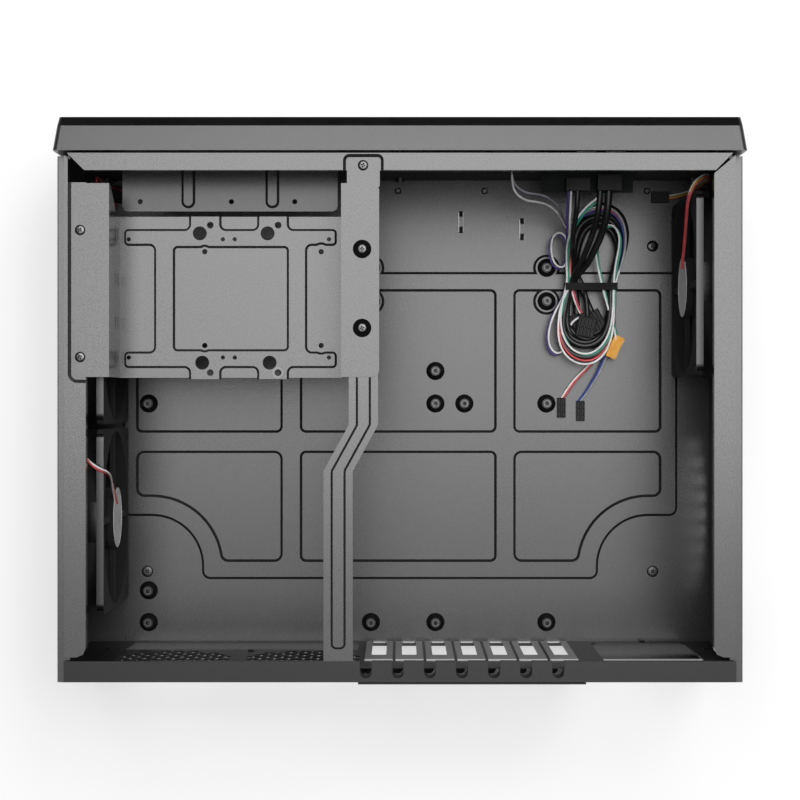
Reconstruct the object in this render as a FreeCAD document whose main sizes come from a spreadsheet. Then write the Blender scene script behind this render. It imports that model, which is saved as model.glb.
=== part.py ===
import FreeCAD, Part
import math
import os
import Sketcher

Vector = FreeCAD.Vector
doc = FreeCAD.newDocument("media_case")

# Driving dimensions, in millimetres, in the sheet
dims = doc.addObject("Spreadsheet::Sheet", "Dims")
TABLE = [
    ("case_width", 440, "outer width"),
    ("case_height", 170, "height over the feet and the bezel"),
    ("front_face", 181.25, "front face, from the middle"),
    ("rear_edge", 177.25, "rear edge of floor and rear rail, from the middle"),
    ("hood_back", 181.25, "back of the slot hood, from the middle"),
    ("sheet", 1, "sheet thickness"),
    ("floor_under", 12, "underside of the floor"),
    ("emboss", 1.8, "height of the stamped floor beads"),
    ("ledge_lip", 11, "upturned lip of the ledge behind the power supply"),
    ("ledge_height", 150, "ledge of the side walls"),
    ("ledge_width", 7.3, "ledge of the side walls"),
    ("ledge_bend", 0.8, "bevel along both bends of that ledge"),
    ("side_rear", 179.7, "rear edge of the side walls, from the middle"),
    ("rail_top", 168, "top of the rails"),
    ("rail_inner", 199, "inner edge of the side rails"),
    ("rail_lip", 6, "down-turned lip of the rails"),
    ("front_wall_face", 158, "outer face of the front wall"),
    ("front_rail_inner", 147.1, "inner edge of the front rail"),
    ("front_rail_end", 200, "inner corner of the front rail"),
    ("rear_wall_face", 169.5, "inner face of the rear wall"),
    ("rear_rail_inner", 164, "inner edge of the rear rail"),
    ("rear_rail_half", 213, "half length of the rear rail"),
    ("slot_first", -14.1, "middle of the first slot"),
    ("slot_pitch", 20.32, "pitch of the slots"),
    ("slot_top", 119.8, "underside of the slot tabs"),
    ("fan_size", 120, "fan square"),
    ("fan_depth", 25, "fan depth"),
    ("fan_hole", 52.5, "fan screw hole, from the fan middle"),
    ("fan_bore", 58, "radius of the fan duct"),
    ("fan_height", 80, "fan axis over the table"),
    ("fan_rear_y", -77.8, "left rear fan axis"),
    ("fan_front_y", 45.6, "left front fan axis"),
    ("fan_right_y", 77.7, "right fan axis"),
    ("filter_depth", 2.2, "dust filter"),
    ("tray_sheet", 1.2, "drive tray sheet"),
    ("tray_floor", 117, "top of the tray plate"),
    ("tray_emboss", 1.5, "height of the tray's stamped spine"),
    ("tray_left", -184.2, "inner face of the tray's left wall"),
    ("tray_right", -37.3, "inner face of the tray's right wall"),
    ("flange_left", -206.6, "outer edge of the left flange"),
    ("flange_right", -13.2, "outer edge of the right flange"),
    ("flange_rear", 16.1, "rear end of the flanges"),
    ("flange_front", 138.8, "front end of the flanges"),
    ("seat_margin", 3.8, "from the flange to the edge of the dish that it lies in"),
    ("bar_width", 18.6, "support bar"),
    ("rib_width", 9.6, "rib of the support bar"),
    ("bar_front_x", -23.2, "middle of the bar's front run"),
    ("bar_rear_x", -39.2, "middle of the bar's rear run"),
    ("bezel_back", 159.5, "back of the bezel"),
    ("bezel_front", 175.3, "front of the bezel"),
    ("bezel_draft", 3.3, "inward taper of bezel and plate together"),
    ("plate_bevel", 6, "fall of the front plate's top edge, from the bezel's back"),
    ("bezel_bottom", 8, "underside of the bezel"),
    ("bay_left", -184, "bay opening"),
    ("bay_right", -36, "bay opening"),
    ("bay_bottom", 118.5, "bay opening"),
    ("bay_top", 161.5, "bay opening"),
    ("standoff_base", 6.5, "radius of a standoff's base"),
    ("standoff_top", 19.5, "top of the standoffs"),
    ("foot_radius", 19, "feet"),
    ("foot_x", 179, "feet"),
    ("foot_rear", -120, "rear feet"),
    ("foot_front", 110.5, "front feet"),
    ("usb_cord", 5, "diameter of the data lead"),
    ("audio_cord", 3.6, "diameter of the sound lead"),
    ("switch_cord", 3.8, "diameter of the bundled switch lead"),
    ("tail_cord", 2.4, "diameter of the lead tails"),
    ("fan_cord", 2.4, "diameter of the fan leads"),
    ("waist_left", 117, "left side of the tied waist"),
    ("waist_right", 151, "right side of the tied waist"),
    ("tie_sheet", 1.2, "cable tie"),
    ("hank_under", 16.2, "underside of the cable hank"),
    ("hank_top", 32, "top of the cable hank"),
    ("tie_y", 81, "middle of the cable tie"),
]
for row, (alias, amount, note) in enumerate(TABLE, start=1):
    dims.set("A%d" % row, alias)
    dims.set("B%d" % row, str(amount))
    dims.set("C%d" % row, note)
    dims.setAlias("B%d" % row, alias)
doc.recompute()


class Size:
    """A number together with the sheet formula that it comes from."""

    def __init__(self, value, formula):
        self.value = float(value)
        self.formula = formula

    def __add__(self, other):
        return Size(self.value + number(other), "(%s + %s)" % (self.formula, text(other)))

    def __radd__(self, other):
        return self + other

    def __sub__(self, other):
        return Size(self.value - number(other), "(%s - %s)" % (self.formula, text(other)))

    def __rsub__(self, other):
        return Size(number(other) - self.value, "(%s - %s)" % (text(other), self.formula))

    def __mul__(self, other):
        return Size(self.value * number(other), "(%s * %s)" % (self.formula, text(other)))

    def __rmul__(self, other):
        return self * other

    def __truediv__(self, other):
        return Size(self.value / number(other), "(%s / %s)" % (self.formula, text(other)))

    def __neg__(self):
        return Size(-self.value, "(-1 * %s)" % self.formula)


def number(size):
    return size.value if isinstance(size, Size) else float(size)


def text(size):
    return size.formula if isinstance(size, Size) else "(%r)" % float(size)


def d(alias):
    return Size(dims.get(alias), "Dims." + alias)


def bind(thing, prop, size):
    thing.setExpression(prop, text(size))


# Sketch loops, each bound to the sheet
def fix_point(sketch, geo, pos, x, y):
    for kind, size in (("DistanceX", x), ("DistanceY", y)):
        if size is None:
            continue
        if abs(number(size)) < 1e-9:
            axis = -2 if kind == "DistanceX" else -1
            sketch.addConstraint(Sketcher.Constraint("PointOnObject", geo, pos, axis))
            continue
        index = sketch.addConstraint(Sketcher.Constraint(kind, -1, 1, geo, pos, number(size)))
        bind(sketch, "Constraints[%d]" % index, size)


def polygon(sketch, points):
    spots = [Vector(number(x), number(y), 0) for x, y in points]
    count = len(spots)
    lines = []
    for i in range(count):
        lines.append(sketch.addGeometry(Part.LineSegment(spots[i], spots[(i + 1) % count]), False))
    for i in range(count):
        sketch.addConstraint(Sketcher.Constraint("Coincident", lines[i], 2, lines[(i + 1) % count], 1))
    for line, (x, y) in zip(lines, points):
        fix_point(sketch, line, 1, x, y)


def rectangle(sketch, x, y):
    polygon(sketch, [(x[0], y[0]), (x[1], y[0]), (x[1], y[1]), (x[0], y[1])])


def circle(sketch, x, y, radius):
    ring = Part.Circle(Vector(number(x), number(y), 0), Vector(0, 0, 1), number(radius))
    geo = sketch.addGeometry(ring, False)
    fix_point(sketch, geo, 3, x, y)
    index = sketch.addConstraint(Sketcher.Constraint("Radius", geo, number(radius)))
    bind(sketch, "Constraints[%d]" % index, radius)


def rounded(sketch, x, y, radius):
    left, right, low, high = number(x[0]), number(x[1]), number(y[0]), number(y[1])
    r = number(radius)

    def line(ax, ay, bx, by):
        return sketch.addGeometry(Part.LineSegment(Vector(ax, ay, 0), Vector(bx, by, 0)), False)

    def corner(cx, cy, start):
        ring = Part.Circle(Vector(cx, cy, 0), Vector(0, 0, 1), r)
        return sketch.addGeometry(Part.ArcOfCircle(ring, start, start + math.pi / 2), False)

    sides = [
        line(left + r, low, right - r, low),
        line(right, low + r, right, high - r),
        line(right - r, high, left + r, high),
        line(left, high - r, left, low + r),
    ]
    corners = [
        corner(right - r, low + r, -math.pi / 2),
        corner(right - r, high - r, 0),
        corner(left + r, high - r, math.pi / 2),
        corner(left + r, low + r, math.pi),
    ]
    for i in range(4):
        sketch.addConstraint(Sketcher.Constraint("Tangent", sides[i], 2, corners[i], 1))
        sketch.addConstraint(Sketcher.Constraint("Tangent", corners[i], 2, sides[(i + 1) % 4], 1))
    for i in (0, 2):
        sketch.addConstraint(Sketcher.Constraint("Horizontal", sides[i]))
        sketch.addConstraint(Sketcher.Constraint("Vertical", sides[i + 1]))
    for i in (1, 2, 3):
        sketch.addConstraint(Sketcher.Constraint("Equal", corners[0], corners[i]))
    index = sketch.addConstraint(Sketcher.Constraint("Radius", corners[0], r))
    bind(sketch, "Constraints[%d]" % index, radius)
    fix_point(sketch, sides[3], 1, x[0], None)
    fix_point(sketch, sides[1], 1, x[1], None)
    fix_point(sketch, sides[0], 1, None, y[0])
    fix_point(sketch, sides[2], 1, None, y[1])


def outline(sketch, shape):
    """Draw a closed outline of lines and arcs that were worked out from the sheet's sizes."""
    for edge in shape.Edges:
        if isinstance(edge.Curve, Part.Circle):
            ring = Part.Circle(edge.Curve.Center, Vector(0, 0, 1), edge.Curve.Radius)
            middle = edge.valueAt((edge.FirstParameter + edge.LastParameter) / 2)
            ends = [edge.valueAt(edge.FirstParameter), edge.valueAt(edge.LastParameter)]
            angles = [math.atan2(p.y - ring.Center.y, p.x - ring.Center.x) for p in ends]
            half = math.atan2(middle.y - ring.Center.y, middle.x - ring.Center.x)
            start, stop = angles
            if (half - start) % (2 * math.pi) > (stop - start) % (2 * math.pi):
                start, stop = stop, start
            if stop < start:
                stop += 2 * math.pi
            geo = sketch.addGeometry(Part.ArcOfCircle(ring, start, stop), False)
        else:
            first = edge.valueAt(edge.FirstParameter)
            last = edge.valueAt(edge.LastParameter)
            geo = sketch.addGeometry(Part.LineSegment(first, last), False)
        sketch.addConstraint(Sketcher.Constraint("Block", geo))


# Features of a body
PLANES = {"xy": ("XY_Plane", 1), "xz": ("XZ_Plane", -1), "yz": ("YZ_Plane", 1)}


def body(label):
    return doc.addObject("PartDesign::Body", label)


def origin(owner, role):
    return next(item for item in owner.Origin.OriginFeatures if item.Role == role)


def sketch_at(owner, plane, level):
    role, sign = PLANES[plane]
    sketch = owner.newObject("Sketcher::SketchObject", "Outline")
    sketch.AttachmentSupport = (origin(owner, role), [""])
    sketch.MapMode = "FlatFace"
    bind(sketch, "AttachmentOffset.Base.z", sign * level)
    return sketch


def add(owner, plane, span, draw, taper=0):
    """Pad what draw puts in a sketch over a span of the plane's axis."""
    low, high = span
    sketch = sketch_at(owner, plane, high if plane == "xz" else low)
    draw(sketch)
    pad = owner.newObject("PartDesign::Pad", "Pad")
    pad.Profile = sketch
    bind(pad, "Length", high - low)
    pad.TaperAngle = taper
    return pad


def cut(owner, plane, span, draw, taper=0):
    """Pocket what draw puts in a sketch over a span of the plane's axis."""
    low, high = span
    sketch = sketch_at(owner, plane, low if plane == "xz" else high)
    draw(sketch)
    pocket = owner.newObject("PartDesign::Pocket", "Pocket")
    pocket.Profile = sketch
    bind(pocket, "Length", high - low)
    pocket.TaperAngle = taper
    return pocket


def box(label, x, y, z):
    solid = doc.addObject("Part::Box", label)
    for prop, (low, high) in zip(("Length", "Width", "Height"), (x, y, z)):
        bind(solid, prop, high - low)
    for axis, (low, high) in zip("xyz", (x, y, z)):
        bind(solid, "Placement.Base." + axis, low)
    return solid


TURN = {
    "z": FreeCAD.Rotation(),
    "x": FreeCAD.Rotation(Vector(0, 1, 0), 90),
    "-x": FreeCAD.Rotation(Vector(0, 1, 0), -90),
    "y": FreeCAD.Rotation(Vector(1, 0, 0), -90),
    "-y": FreeCAD.Rotation(Vector(1, 0, 0), 90),
}


def rod(label, axis, spot, radius, length):
    """A round rod from a spot, along an axis."""
    solid = doc.addObject("Part::Cylinder", label)
    bind(solid, "Radius", radius)
    bind(solid, "Height", length)
    solid.Placement.Rotation = TURN[axis]
    for name, size in zip("xyz", spot):
        bind(solid, "Placement.Base." + name, size)
    return solid


def cone(label, axis, spot, radius, top, length):
    solid = doc.addObject("Part::Cone", label)
    bind(solid, "Radius1", radius)
    bind(solid, "Radius2", top)
    bind(solid, "Height", length)
    solid.Placement.Rotation = TURN[axis]
    for name, size in zip("xyz", spot):
        bind(solid, "Placement.Base." + name, size)
    return solid


def join(label, pieces):
    whole = doc.addObject("Part::MultiFuse", label)
    whole.Shapes = pieces
    whole.Refine = True
    return whole


def carve(label, base, tools):
    whole = doc.addObject("Part::Cut", label)
    whole.Base = base
    whole.Tool = tools[0] if len(tools) == 1 else join(label + "_tools", tools)
    whole.Refine = True
    return whole


def group(label, pieces):
    whole = doc.addObject("Part::Compound", label)
    whole.Links = pieces
    return whole


def loose(label, shape):
    feature = doc.addObject("Part::Feature", label)
    feature.Shape = shape
    return feature


NODES = {}


def node(name, feature):
    feature.Label = name
    NODES[name] = feature
    return feature


half = d("case_width") / 2
sheet = d("sheet")
floor_top = d("floor_under") + sheet
inner = half - sheet
rail_top = d("rail_top")
rail_under = rail_top - sheet
rear_edge = -d("rear_edge")
wall_front = d("front_wall_face")
wall_front_in = wall_front - sheet
rear_in = -d("rear_wall_face")
rear_out = rear_in - sheet
rail_outer = half - d("ledge_width")

# Places that several pieces share
TRAY_SCREW_X = -202.5
TRAY_SCREW_Y = (109.1, 28.7)
GROMMET_X = -24
GROMMET_Y = (97.1, 47.1)
BRACE_SCREW = (-23.4, 150.2)
DRIVE_RING = (-80.1, 19.4)
CABLE_HOOKS = ((43.2, 127.5), (86.4, 122.5))
SCREW_HOLE = 1.75

# Floor pan: a bead network stamped up round six panels
BEAD = ((-196.6, 196.6), (-125.6, 92.2))
PANEL_X = ((-187, -83), (-71, 68.5), (80.2, 185.2))
PANEL_Y = ((-21.8, 80), (-113.3, -34.4))
BUMPS = ((-20.6, 71.33), (103.8, 71.33), (-20.6, 95), (103.8, 95), (-178.1, 95))
CORNER_X = 175.7
CORNER_Y = -116.2


def soft_face(face, convex, concave):
    if convex:
        face = face.makeOffset2D(-convex).makeOffset2D(convex)
    if concave:
        face = face.makeOffset2D(concave).makeOffset2D(-concave)
    return face


def flat(x, y):
    spots = [Vector(x[0], y[0], 0), Vector(x[1], y[0], 0), Vector(x[1], y[1], 0), Vector(x[0], y[1], 0)]
    return Part.Face(Part.makePolygon(spots + spots[:1]))


def union(faces, bites=()):
    """One flat outline from flat ones that overlap, less the bites."""
    blocks = [face.extrude(Vector(0, 0, 1)) for face in faces]
    whole = blocks[0].multiFuse(blocks[1:]).removeSplitter()
    for bite in bites:
        whole = whole.cut(bite.extrude(Vector(0, 0, 1)))
    return next(face for face in whole.Faces if abs(face.CenterOfMass.z) < 1e-6)


def disc(x, y, radius):
    return Part.Face(Part.Wire(Part.makeCircle(radius, Vector(x, y, 0))))


def cornered(x, y, radius):
    face = flat(x, y)
    face = face.cut(disc(-CORNER_X, CORNER_Y, radius)).cut(disc(CORNER_X, CORNER_Y, radius))
    rest = flat((-300, -CORNER_X), (-300, CORNER_Y + radius))
    other = flat((CORNER_X, 300), (-300, CORNER_Y + radius))
    low = flat((-CORNER_X - 1, -CORNER_X + radius), (-300, CORNER_Y))
    lower = flat((CORNER_X - radius, CORNER_X + 1), (-300, CORNER_Y))
    face = face.cut(rest).cut(other).cut(low).cut(lower)
    return soft_face(face.removeSplitter().Faces[0], 6, 0)


bead_outline = cornered(BEAD[0], BEAD[1], 35.3)
panel_outlines = []
for span_y in PANEL_Y:
    for span_x in PANEL_X:
        panel = flat(span_x, span_y)
        if span_y[0] < -100 and abs(span_x[0] + span_x[1]) > 100:
            panel = cornered(span_x, span_y, 48.9)
        panel_outlines.append(soft_face(panel, 4.5, 0))

floor = body("floor_body")
notch = rear_edge + 4.3
SUPPLY_LEDGE = (128, 214)
ledge_rear = -d("hood_back")
add(floor, "xy", (d("floor_under"), floor_top), lambda s: polygon(s, [
    (-inner, rear_edge), (-25, rear_edge), (-25, notch), (119, notch), (119, rear_edge),
    (SUPPLY_LEDGE[0], rear_edge), (SUPPLY_LEDGE[0], ledge_rear),
    (SUPPLY_LEDGE[1], ledge_rear), (SUPPLY_LEDGE[1], rear_edge),
    (inner, rear_edge), (inner, wall_front_in), (-inner, wall_front_in)]))
add(floor, "xy", (floor_top, floor_top + d("ledge_lip")), lambda s: rectangle(
    s, SUPPLY_LEDGE, (ledge_rear, ledge_rear + sheet)))
add(floor, "xy", (floor_top, floor_top + d("emboss")), lambda s: outline(s, bead_outline), -45)


def draw_panels(sketch):
    for panel in panel_outlines:
        outline(sketch, panel)


cut(floor, "xy", (floor_top, floor_top + d("emboss")), draw_panels, -45)
for x, y in BUMPS:
    add(floor, "xy", (floor_top, floor_top + d("emboss")), lambda s: circle(s, x, y, 9.5), -45)


def draw_floor_holes(sketch):
    for x in (-d("foot_x"), d("foot_x")):
        for y in (d("foot_rear"), d("foot_front")):
            circle(sketch, x, y, 2.2)
    for x, y in CABLE_HOOKS:
        rectangle(sketch, (x - 1.7, x + 1.7), (y - 7, y + 7))


cut(floor, "xy", (d("floor_under"), floor_top), draw_floor_holes)
for x, y in CABLE_HOOKS:
    add(floor, "yz", (x - 1.4, x + 1.4), lambda s: polygon(s, [
        (y - 7.8, floor_top), (y - 5.6, floor_top), (y - 3, floor_top + 2.4), (y + 3, floor_top + 2.4),
        (y + 5.6, floor_top), (y + 7.8, floor_top), (y + 3.4, floor_top + 3.6), (y - 3.4, floor_top + 3.6)]))
node("floor_pan", floor)


# Vents: slots that fill a round field, cut along X
def vent_slots(label, x, y, z, radius, pitch, width):
    slots = []
    count = int(radius // pitch)
    for i in range(-count, count + 1):
        reach = math.sqrt(radius ** 2 - (i * pitch) ** 2) - width
        if reach < width:
            continue
        low = z - reach
        slot = Part.makeBox(6, width, 2 * reach, Vector(x - 3, y + i * pitch - width / 2, low))
        for end in (low, low + 2 * reach):
            start = Vector(x - 3, y + i * pitch, end)
            slot = slot.fuse(Part.makeCylinder(width / 2, 6, start, Vector(1, 0, 0)))
        slots.append(slot.removeSplitter())
    return loose(label, Part.makeCompound(slots))


def fan_places(side):
    if side < 0:
        return [d("fan_rear_y"), d("fan_front_y")]
    return [d("fan_right_y")]


# Side walls
def side_wall(name, side):
    wall = body(name + "_body")
    lip = rail_top - d("rail_lip") - sheet
    under = d("floor_under") - sheet
    bend = d("ledge_bend")
    side_rear = -d("side_rear")
    points = [
        (half - 11, under), (half, under), (half, d("ledge_height") - bend), (half - bend, d("ledge_height")),
        (rail_outer + bend, d("ledge_height")), (rail_outer, d("ledge_height") + bend),
        (rail_outer, rail_top), (d("rail_inner"), rail_top), (d("rail_inner"), lip),
        (d("rail_inner") + sheet, lip), (d("rail_inner") + sheet, rail_under),
        (rail_outer - sheet, rail_under), (rail_outer - sheet, d("ledge_height") - sheet),
        (inner, d("ledge_height") - sheet), (inner, d("floor_under")), (half - 11, d("floor_under"))]
    add(wall, "xz", (side_rear, wall_front), lambda s: polygon(s, [(side * x, z) for x, z in points]))
    top = (d("ledge_height"), rail_top + 1)
    # mitred front end and rounded rear end of the rail
    cut(wall, "xy", top, lambda s: polygon(s, [
        (side * (d("rail_inner") - 1), 144.2), (side * (rail_outer + 1), 157.4),
        (side * (rail_outer + 1), wall_front + 2), (side * (d("rail_inner") - 1), wall_front + 2)]))
    cut(wall, "xy", top, lambda s: polygon(s, [
        (side * (rail_outer + 1), side_rear - 1), (side * (rail_outer + 1), -161.5),
        (side * (d("rail_inner") + 6), -161.5), (side * (d("rail_inner") + 1.8), -159.8),
        (side * d("rail_inner"), -155.6), (side * (d("rail_inner") - 1), -155.6),
        (side * (d("rail_inner") - 1), side_rear - 1)]))
    tools = []
    for y in fan_places(side):
        tools.append(vent_slots(
            name + "_vent", side * number(half), number(y), number(d("fan_height")), 57, 12, 7))
        for dy in (-d("fan_hole"), d("fan_hole")):
            for dz in (-d("fan_hole"), d("fan_hole")):
                spot = (side * half, y + dy, d("fan_height") + dz)
                tools.append(cone("seat", "-x" if side > 0 else "x", spot, 3.7, 2.1, 1.6))
    if side > 0:
        tools.append(vent_slots(name + "_vent", number(half), -79, 80, 57, 12, 7))
        return node(name, carve(name, wall, tools))
    # left rail: dished where the tray flange lies, open in front of it
    low = rail_top - d("tray_sheet")
    edge_x = d("flange_left") - d("seat_margin")
    edge_y = d("flange_rear") - d("seat_margin")
    seat_front = d("flange_front") + 0.6
    plain = carve(name + "_plain", wall, tools + [
        box("dish", (edge_x, -198.5), (edge_y, 160), (low, rail_top + 1)),
        box("gap", (-200.5, -198.5), (seat_front, 160), (lip - 0.5, rail_top + 1))])
    seat = body("seat_body")
    add(seat, "xy", (low - sheet, rail_top), lambda s: rectangle(
        s, (edge_x - sheet, -d("rail_inner")), (edge_y - sheet, seat_front)))
    cut(seat, "xy", (low, rail_top), lambda s: rounded(
        s, (edge_x, edge_x + 60), (edge_y, seat_front + 60), 6), -60)
    whole = join(name + "_joined", [plain, seat])
    return node(name, carve(name, whole, [
        rod("screw_hole", "z", (TRAY_SCREW_X, y, 160), SCREW_HOLE, 9) for y in TRAY_SCREW_Y]))


side_wall("left_side_wall", -1)
side_wall("right_side_wall", 1)

# Front wall and front rail
front = body("front_body")
add(front, "yz", (-211, 211), lambda s: polygon(s, [
    (wall_front, d("floor_under")), (wall_front, rail_top), (d("front_rail_inner"), rail_top),
    (d("front_rail_inner"), rail_under - 5), (d("front_rail_inner") + sheet, rail_under - 5),
    (d("front_rail_inner") + sheet, rail_under), (wall_front_in, rail_under),
    (wall_front_in, d("floor_under"))]))
add(front, "xz", (wall_front_in, wall_front), lambda s: rectangle(
    s, (-inner, inner), (d("floor_under"), d("ledge_height") - sheet)))
for side in (-1, 1):
    cut(front, "xy", (rail_under - 6, rail_top + 1), lambda s: polygon(s, [
        (side * d("front_rail_end"), d("front_rail_inner")), (side * 211, wall_front),
        (side * 214, wall_front), (side * 214, d("front_rail_inner") - 1),
        (side * (d("front_rail_end") - 1), d("front_rail_inner") - 1)]))
PEGS = ((-205, 30), (205, 30), (-205, 140), (205, 140), (0, 30), (0, 150))


def draw_front_holes(sketch):
    rectangle(sketch, (d("bay_left"), d("bay_right")), (d("bay_bottom"), d("bay_top") - 0.5))
    rounded(sketch, (56, 162), (62, 114), 4)
    for x, z in PEGS:
        circle(sketch, x, z, 3.3)


cut(front, "xz", (wall_front_in, wall_front), draw_front_holes)
bar_top = rail_top - d("tray_sheet")
TONGUE_X = (-33.6, -12.8)
tongue_end = 155.2
add(front, "xy", (bar_top - 2 * sheet, rail_top), lambda s: rectangle(
    s, (TONGUE_X[0] - 4.4, TONGUE_X[1] + 4.4), (d("front_rail_inner"), wall_front_in)))
cut(front, "xy", (bar_top - sheet, rail_top), lambda s: rounded(
    s, (TONGUE_X[0] - 2.5, TONGUE_X[1] + 2.5), (d("front_rail_inner") - 8, tongue_end + 2.1), 4), -40)
cut(front, "xy", (bar_top - 2 * sheet, bar_top - sheet), lambda s: circle(s, *BRACE_SCREW, 1.7))
node("front_wall", front)

# Rear wall with its joggled top rail
SLOTS = [d("slot_first") + d("slot_pitch") * i for i in range(7)]
step = rail_top - 16
rear = body("rear_body")
below = d("ledge_height") - sheet
neck = rail_outer - sheet
add(rear, "xz", (rear_out, rear_in), lambda s: polygon(s, [
    (-inner, floor_top), (inner, floor_top), (inner, below), (neck, below), (neck, step),
    (-neck, step), (-neck, below), (-inner, below)]))
add(rear, "yz", (-d("rear_rail_half"), d("rear_rail_half")), lambda s: polygon(s, [
    (-d("rear_rail_inner"), rail_top), (rear_edge, rail_top), (rear_edge, step), (rear_in, step),
    (rear_in, step + sheet), (rear_edge + sheet, step + sheet), (rear_edge + sheet, rail_under),
    (-d("rear_rail_inner") - sheet, rail_under), (-d("rear_rail_inner") - sheet, rail_under - 5),
    (-d("rear_rail_inner"), rail_under - 5)]))


def draw_rear_holes(sketch):
    rectangle(sketch, (-187.5, -28.75), (17.6, 62.05))
    rounded(sketch, (134, 200), (24, 146), 4)
    rectangle(sketch, (-26, 118.6), (d("slot_top") - 0.4, d("slot_top") + sheet + 1))
    for x in SLOTS:
        rectangle(sketch, (x - 6.3, x + 6.3), (17, d("slot_top") - 3))


cut(rear, "xz", (rear_out, rear_in), draw_rear_holes)


def draw_notches(sketch):
    for x in SLOTS:
        rounded(sketch, (x - 11.4, x - 3.8), (-174.6, -160), 3.7)


cut(rear, "xy", (step, rail_top + 1), draw_notches)


def hex_field(label, x, z, radius, pitch, across):
    cells = []
    rows = int(radius // (pitch * 0.866)) + 1
    for row in range(-rows, rows + 1):
        for column in range(-rows - 1, rows + 2):
            u = column * pitch + (pitch / 2 if row % 2 else 0)
            v = row * pitch * 0.866
            if math.hypot(u, v) > radius - across * 0.58:
                continue
            corners = []
            for i in range(7):
                angle = math.radians(60 * i + 30)
                corners.append(Vector(x + u + across / 1.732 * math.cos(angle), number(rear_out) - 1,
                                      z + v + across / 1.732 * math.sin(angle)))
            cells.append(Part.Face(Part.makePolygon(corners)).extrude(Vector(0, 3, 0)))
    return loose(label, Part.makeCompound(cells))


node("rear_wall", carve("rear_wall", rear, [
    hex_field("vent_a", -150, 107, 40, 9.6, 8), hex_field("vent_b", -64, 107, 40, 9.6, 8)]))

# Slot hood outside the rear wall
HOOD_X = (-27, 119.6)
hood = body("hood_body")
ledge = d("slot_top") - sheet
add(hood, "yz", HOOD_X, lambda s: polygon(s, [
    (rear_out, ledge - 8), (rear_out, ledge + sheet), (-d("hood_back") + sheet, ledge + sheet),
    (-d("hood_back") + sheet, ledge + 30), (-d("hood_back"), ledge + 30), (-d("hood_back"), ledge),
    (rear_out - sheet, ledge), (rear_out - sheet, ledge - 8)]))
for span in ((HOOD_X[0], HOOD_X[0] + sheet), (HOOD_X[1] - sheet, HOOD_X[1])):
    add(hood, "yz", span, lambda s: rectangle(
        s, (-d("hood_back"), rear_out), (ledge, ledge + 30)))


def draw_hood_holes(sketch):
    for x in SLOTS:
        circle(sketch, x - 7.6, -174.5, 1.75)


cut(hood, "xy", (ledge, ledge + sheet), draw_hood_holes)
cut(hood, "xz", (rear_out - sheet, rear_out), lambda s: [
    rectangle(s, (x - 6.3, x + 6.3), (ledge - 9, ledge - 3)) for x in SLOTS])
node("slot_hood", hood)

# Slot covers and their screws
screws = []
for i, x in enumerate(SLOTS, start=1):
    cover = body("cover_body_%d" % i)
    add(cover, "xz", (rear_in, rear_in + sheet), lambda s: polygon(s, [
        (x - 5, floor_top + 0.3), (x + 5, floor_top + 0.3), (x + 5, floor_top + 6), (x + 9.2, floor_top + 9),
        (x + 9.2, d("slot_top") + sheet), (x - 9.2, d("slot_top") + sheet),
        (x - 9.2, floor_top + 9), (x - 5, floor_top + 6)]))
    add(cover, "xy", (d("slot_top"), d("slot_top") + sheet), lambda s: rectangle(
        s, (x - 9.2, x + 9.2), (-179.8, rear_in + sheet)))
    cut(cover, "xz", (rear_in, rear_in + sheet), lambda s: rounded(s, (x - 4.9, x + 4.9), (24, 98), 1.2))
    cut(cover, "xy", (d("slot_top"), d("slot_top") + sheet), lambda s: rounded(
        s, (x - 12, x - 5.5), (-176.6, -172.4), 2))
    node("slot_cover_%d" % i, cover)
    seat_z = d("slot_top") + sheet
    screws.append(join("slot_screw_%d" % i, [
        rod("head", "z", (x - 7.6, -174.5, seat_z), 3.2, 2.2),
        rod("shank", "z", (x - 7.6, -174.5, seat_z - 7), 1.6, 7.5)]))
node("slot_screws", group("slot_screws", screws))

# Support bar: a cranked channel with a raised rib
bar = body("bar_body")
wide = d("bar_width") / 2
bar_end = -d("rear_rail_inner") + sheet
CRANK_Y = (-14.3, -43.5)


def strip(left, right, front_end, rear_end):
    fx = d("bar_front_x")
    rx = d("bar_rear_x")
    return [
        (fx + left, front_end), (fx + left, CRANK_Y[0]), (rx + left, CRANK_Y[1]), (rx + left, rear_end),
        (rx + right, rear_end), (rx + right, CRANK_Y[1]), (fx + right, CRANK_Y[0]), (fx + right, front_end)]


add(bar, "xy", (bar_top - sheet, bar_top), lambda s: polygon(
    s, strip(-wide, wide, 139.5, -d("rear_rail_inner"))))
add(bar, "xy", (bar_top - sheet, bar_top), lambda s: rounded(s, TONGUE_X, (136, tongue_end), 2))
add(bar, "xy", (bar_top - 9, bar_top - sheet), lambda s: polygon(
    s, strip(-wide, -wide + sheet, 136, bar_end)))
add(bar, "xy", (bar_top - 9, bar_top - sheet), lambda s: polygon(
    s, strip(wide - sheet, wide, 136, bar_end)))
add(bar, "xz", (-d("rear_rail_inner"), bar_end), lambda s: rectangle(
    s, (d("bar_rear_x") - wide, d("bar_rear_x") + wide), (bar_top - 9, bar_top - sheet)))
rib_half = d("rib_width") / 2
rib_start = d("flange_rear") - 0.2
rib = [Vector(number(x), number(y), 0) for x, y in strip(-rib_half, rib_half, 26, -156.5)]
rib_face = soft_face(Part.Face(Part.makePolygon(rib + rib[:1])), 3.6, 3)
add(bar, "xy", (bar_top, rail_top), lambda s: outline(s, rib_face), -50)
cut(bar, "xy", (bar_top, rail_top), lambda s: rectangle(
    s, (d("bar_front_x") - wide, d("bar_front_x") + wide), (rib_start, 40)))
cut(bar, "xy", (bar_top - sheet, bar_top), lambda s: [
    circle(s, x, y, 1.7) for x, y in [BRACE_SCREW] + [(GROMMET_X, y) for y in GROMMET_Y]])
node("support_bar", bar)
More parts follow.
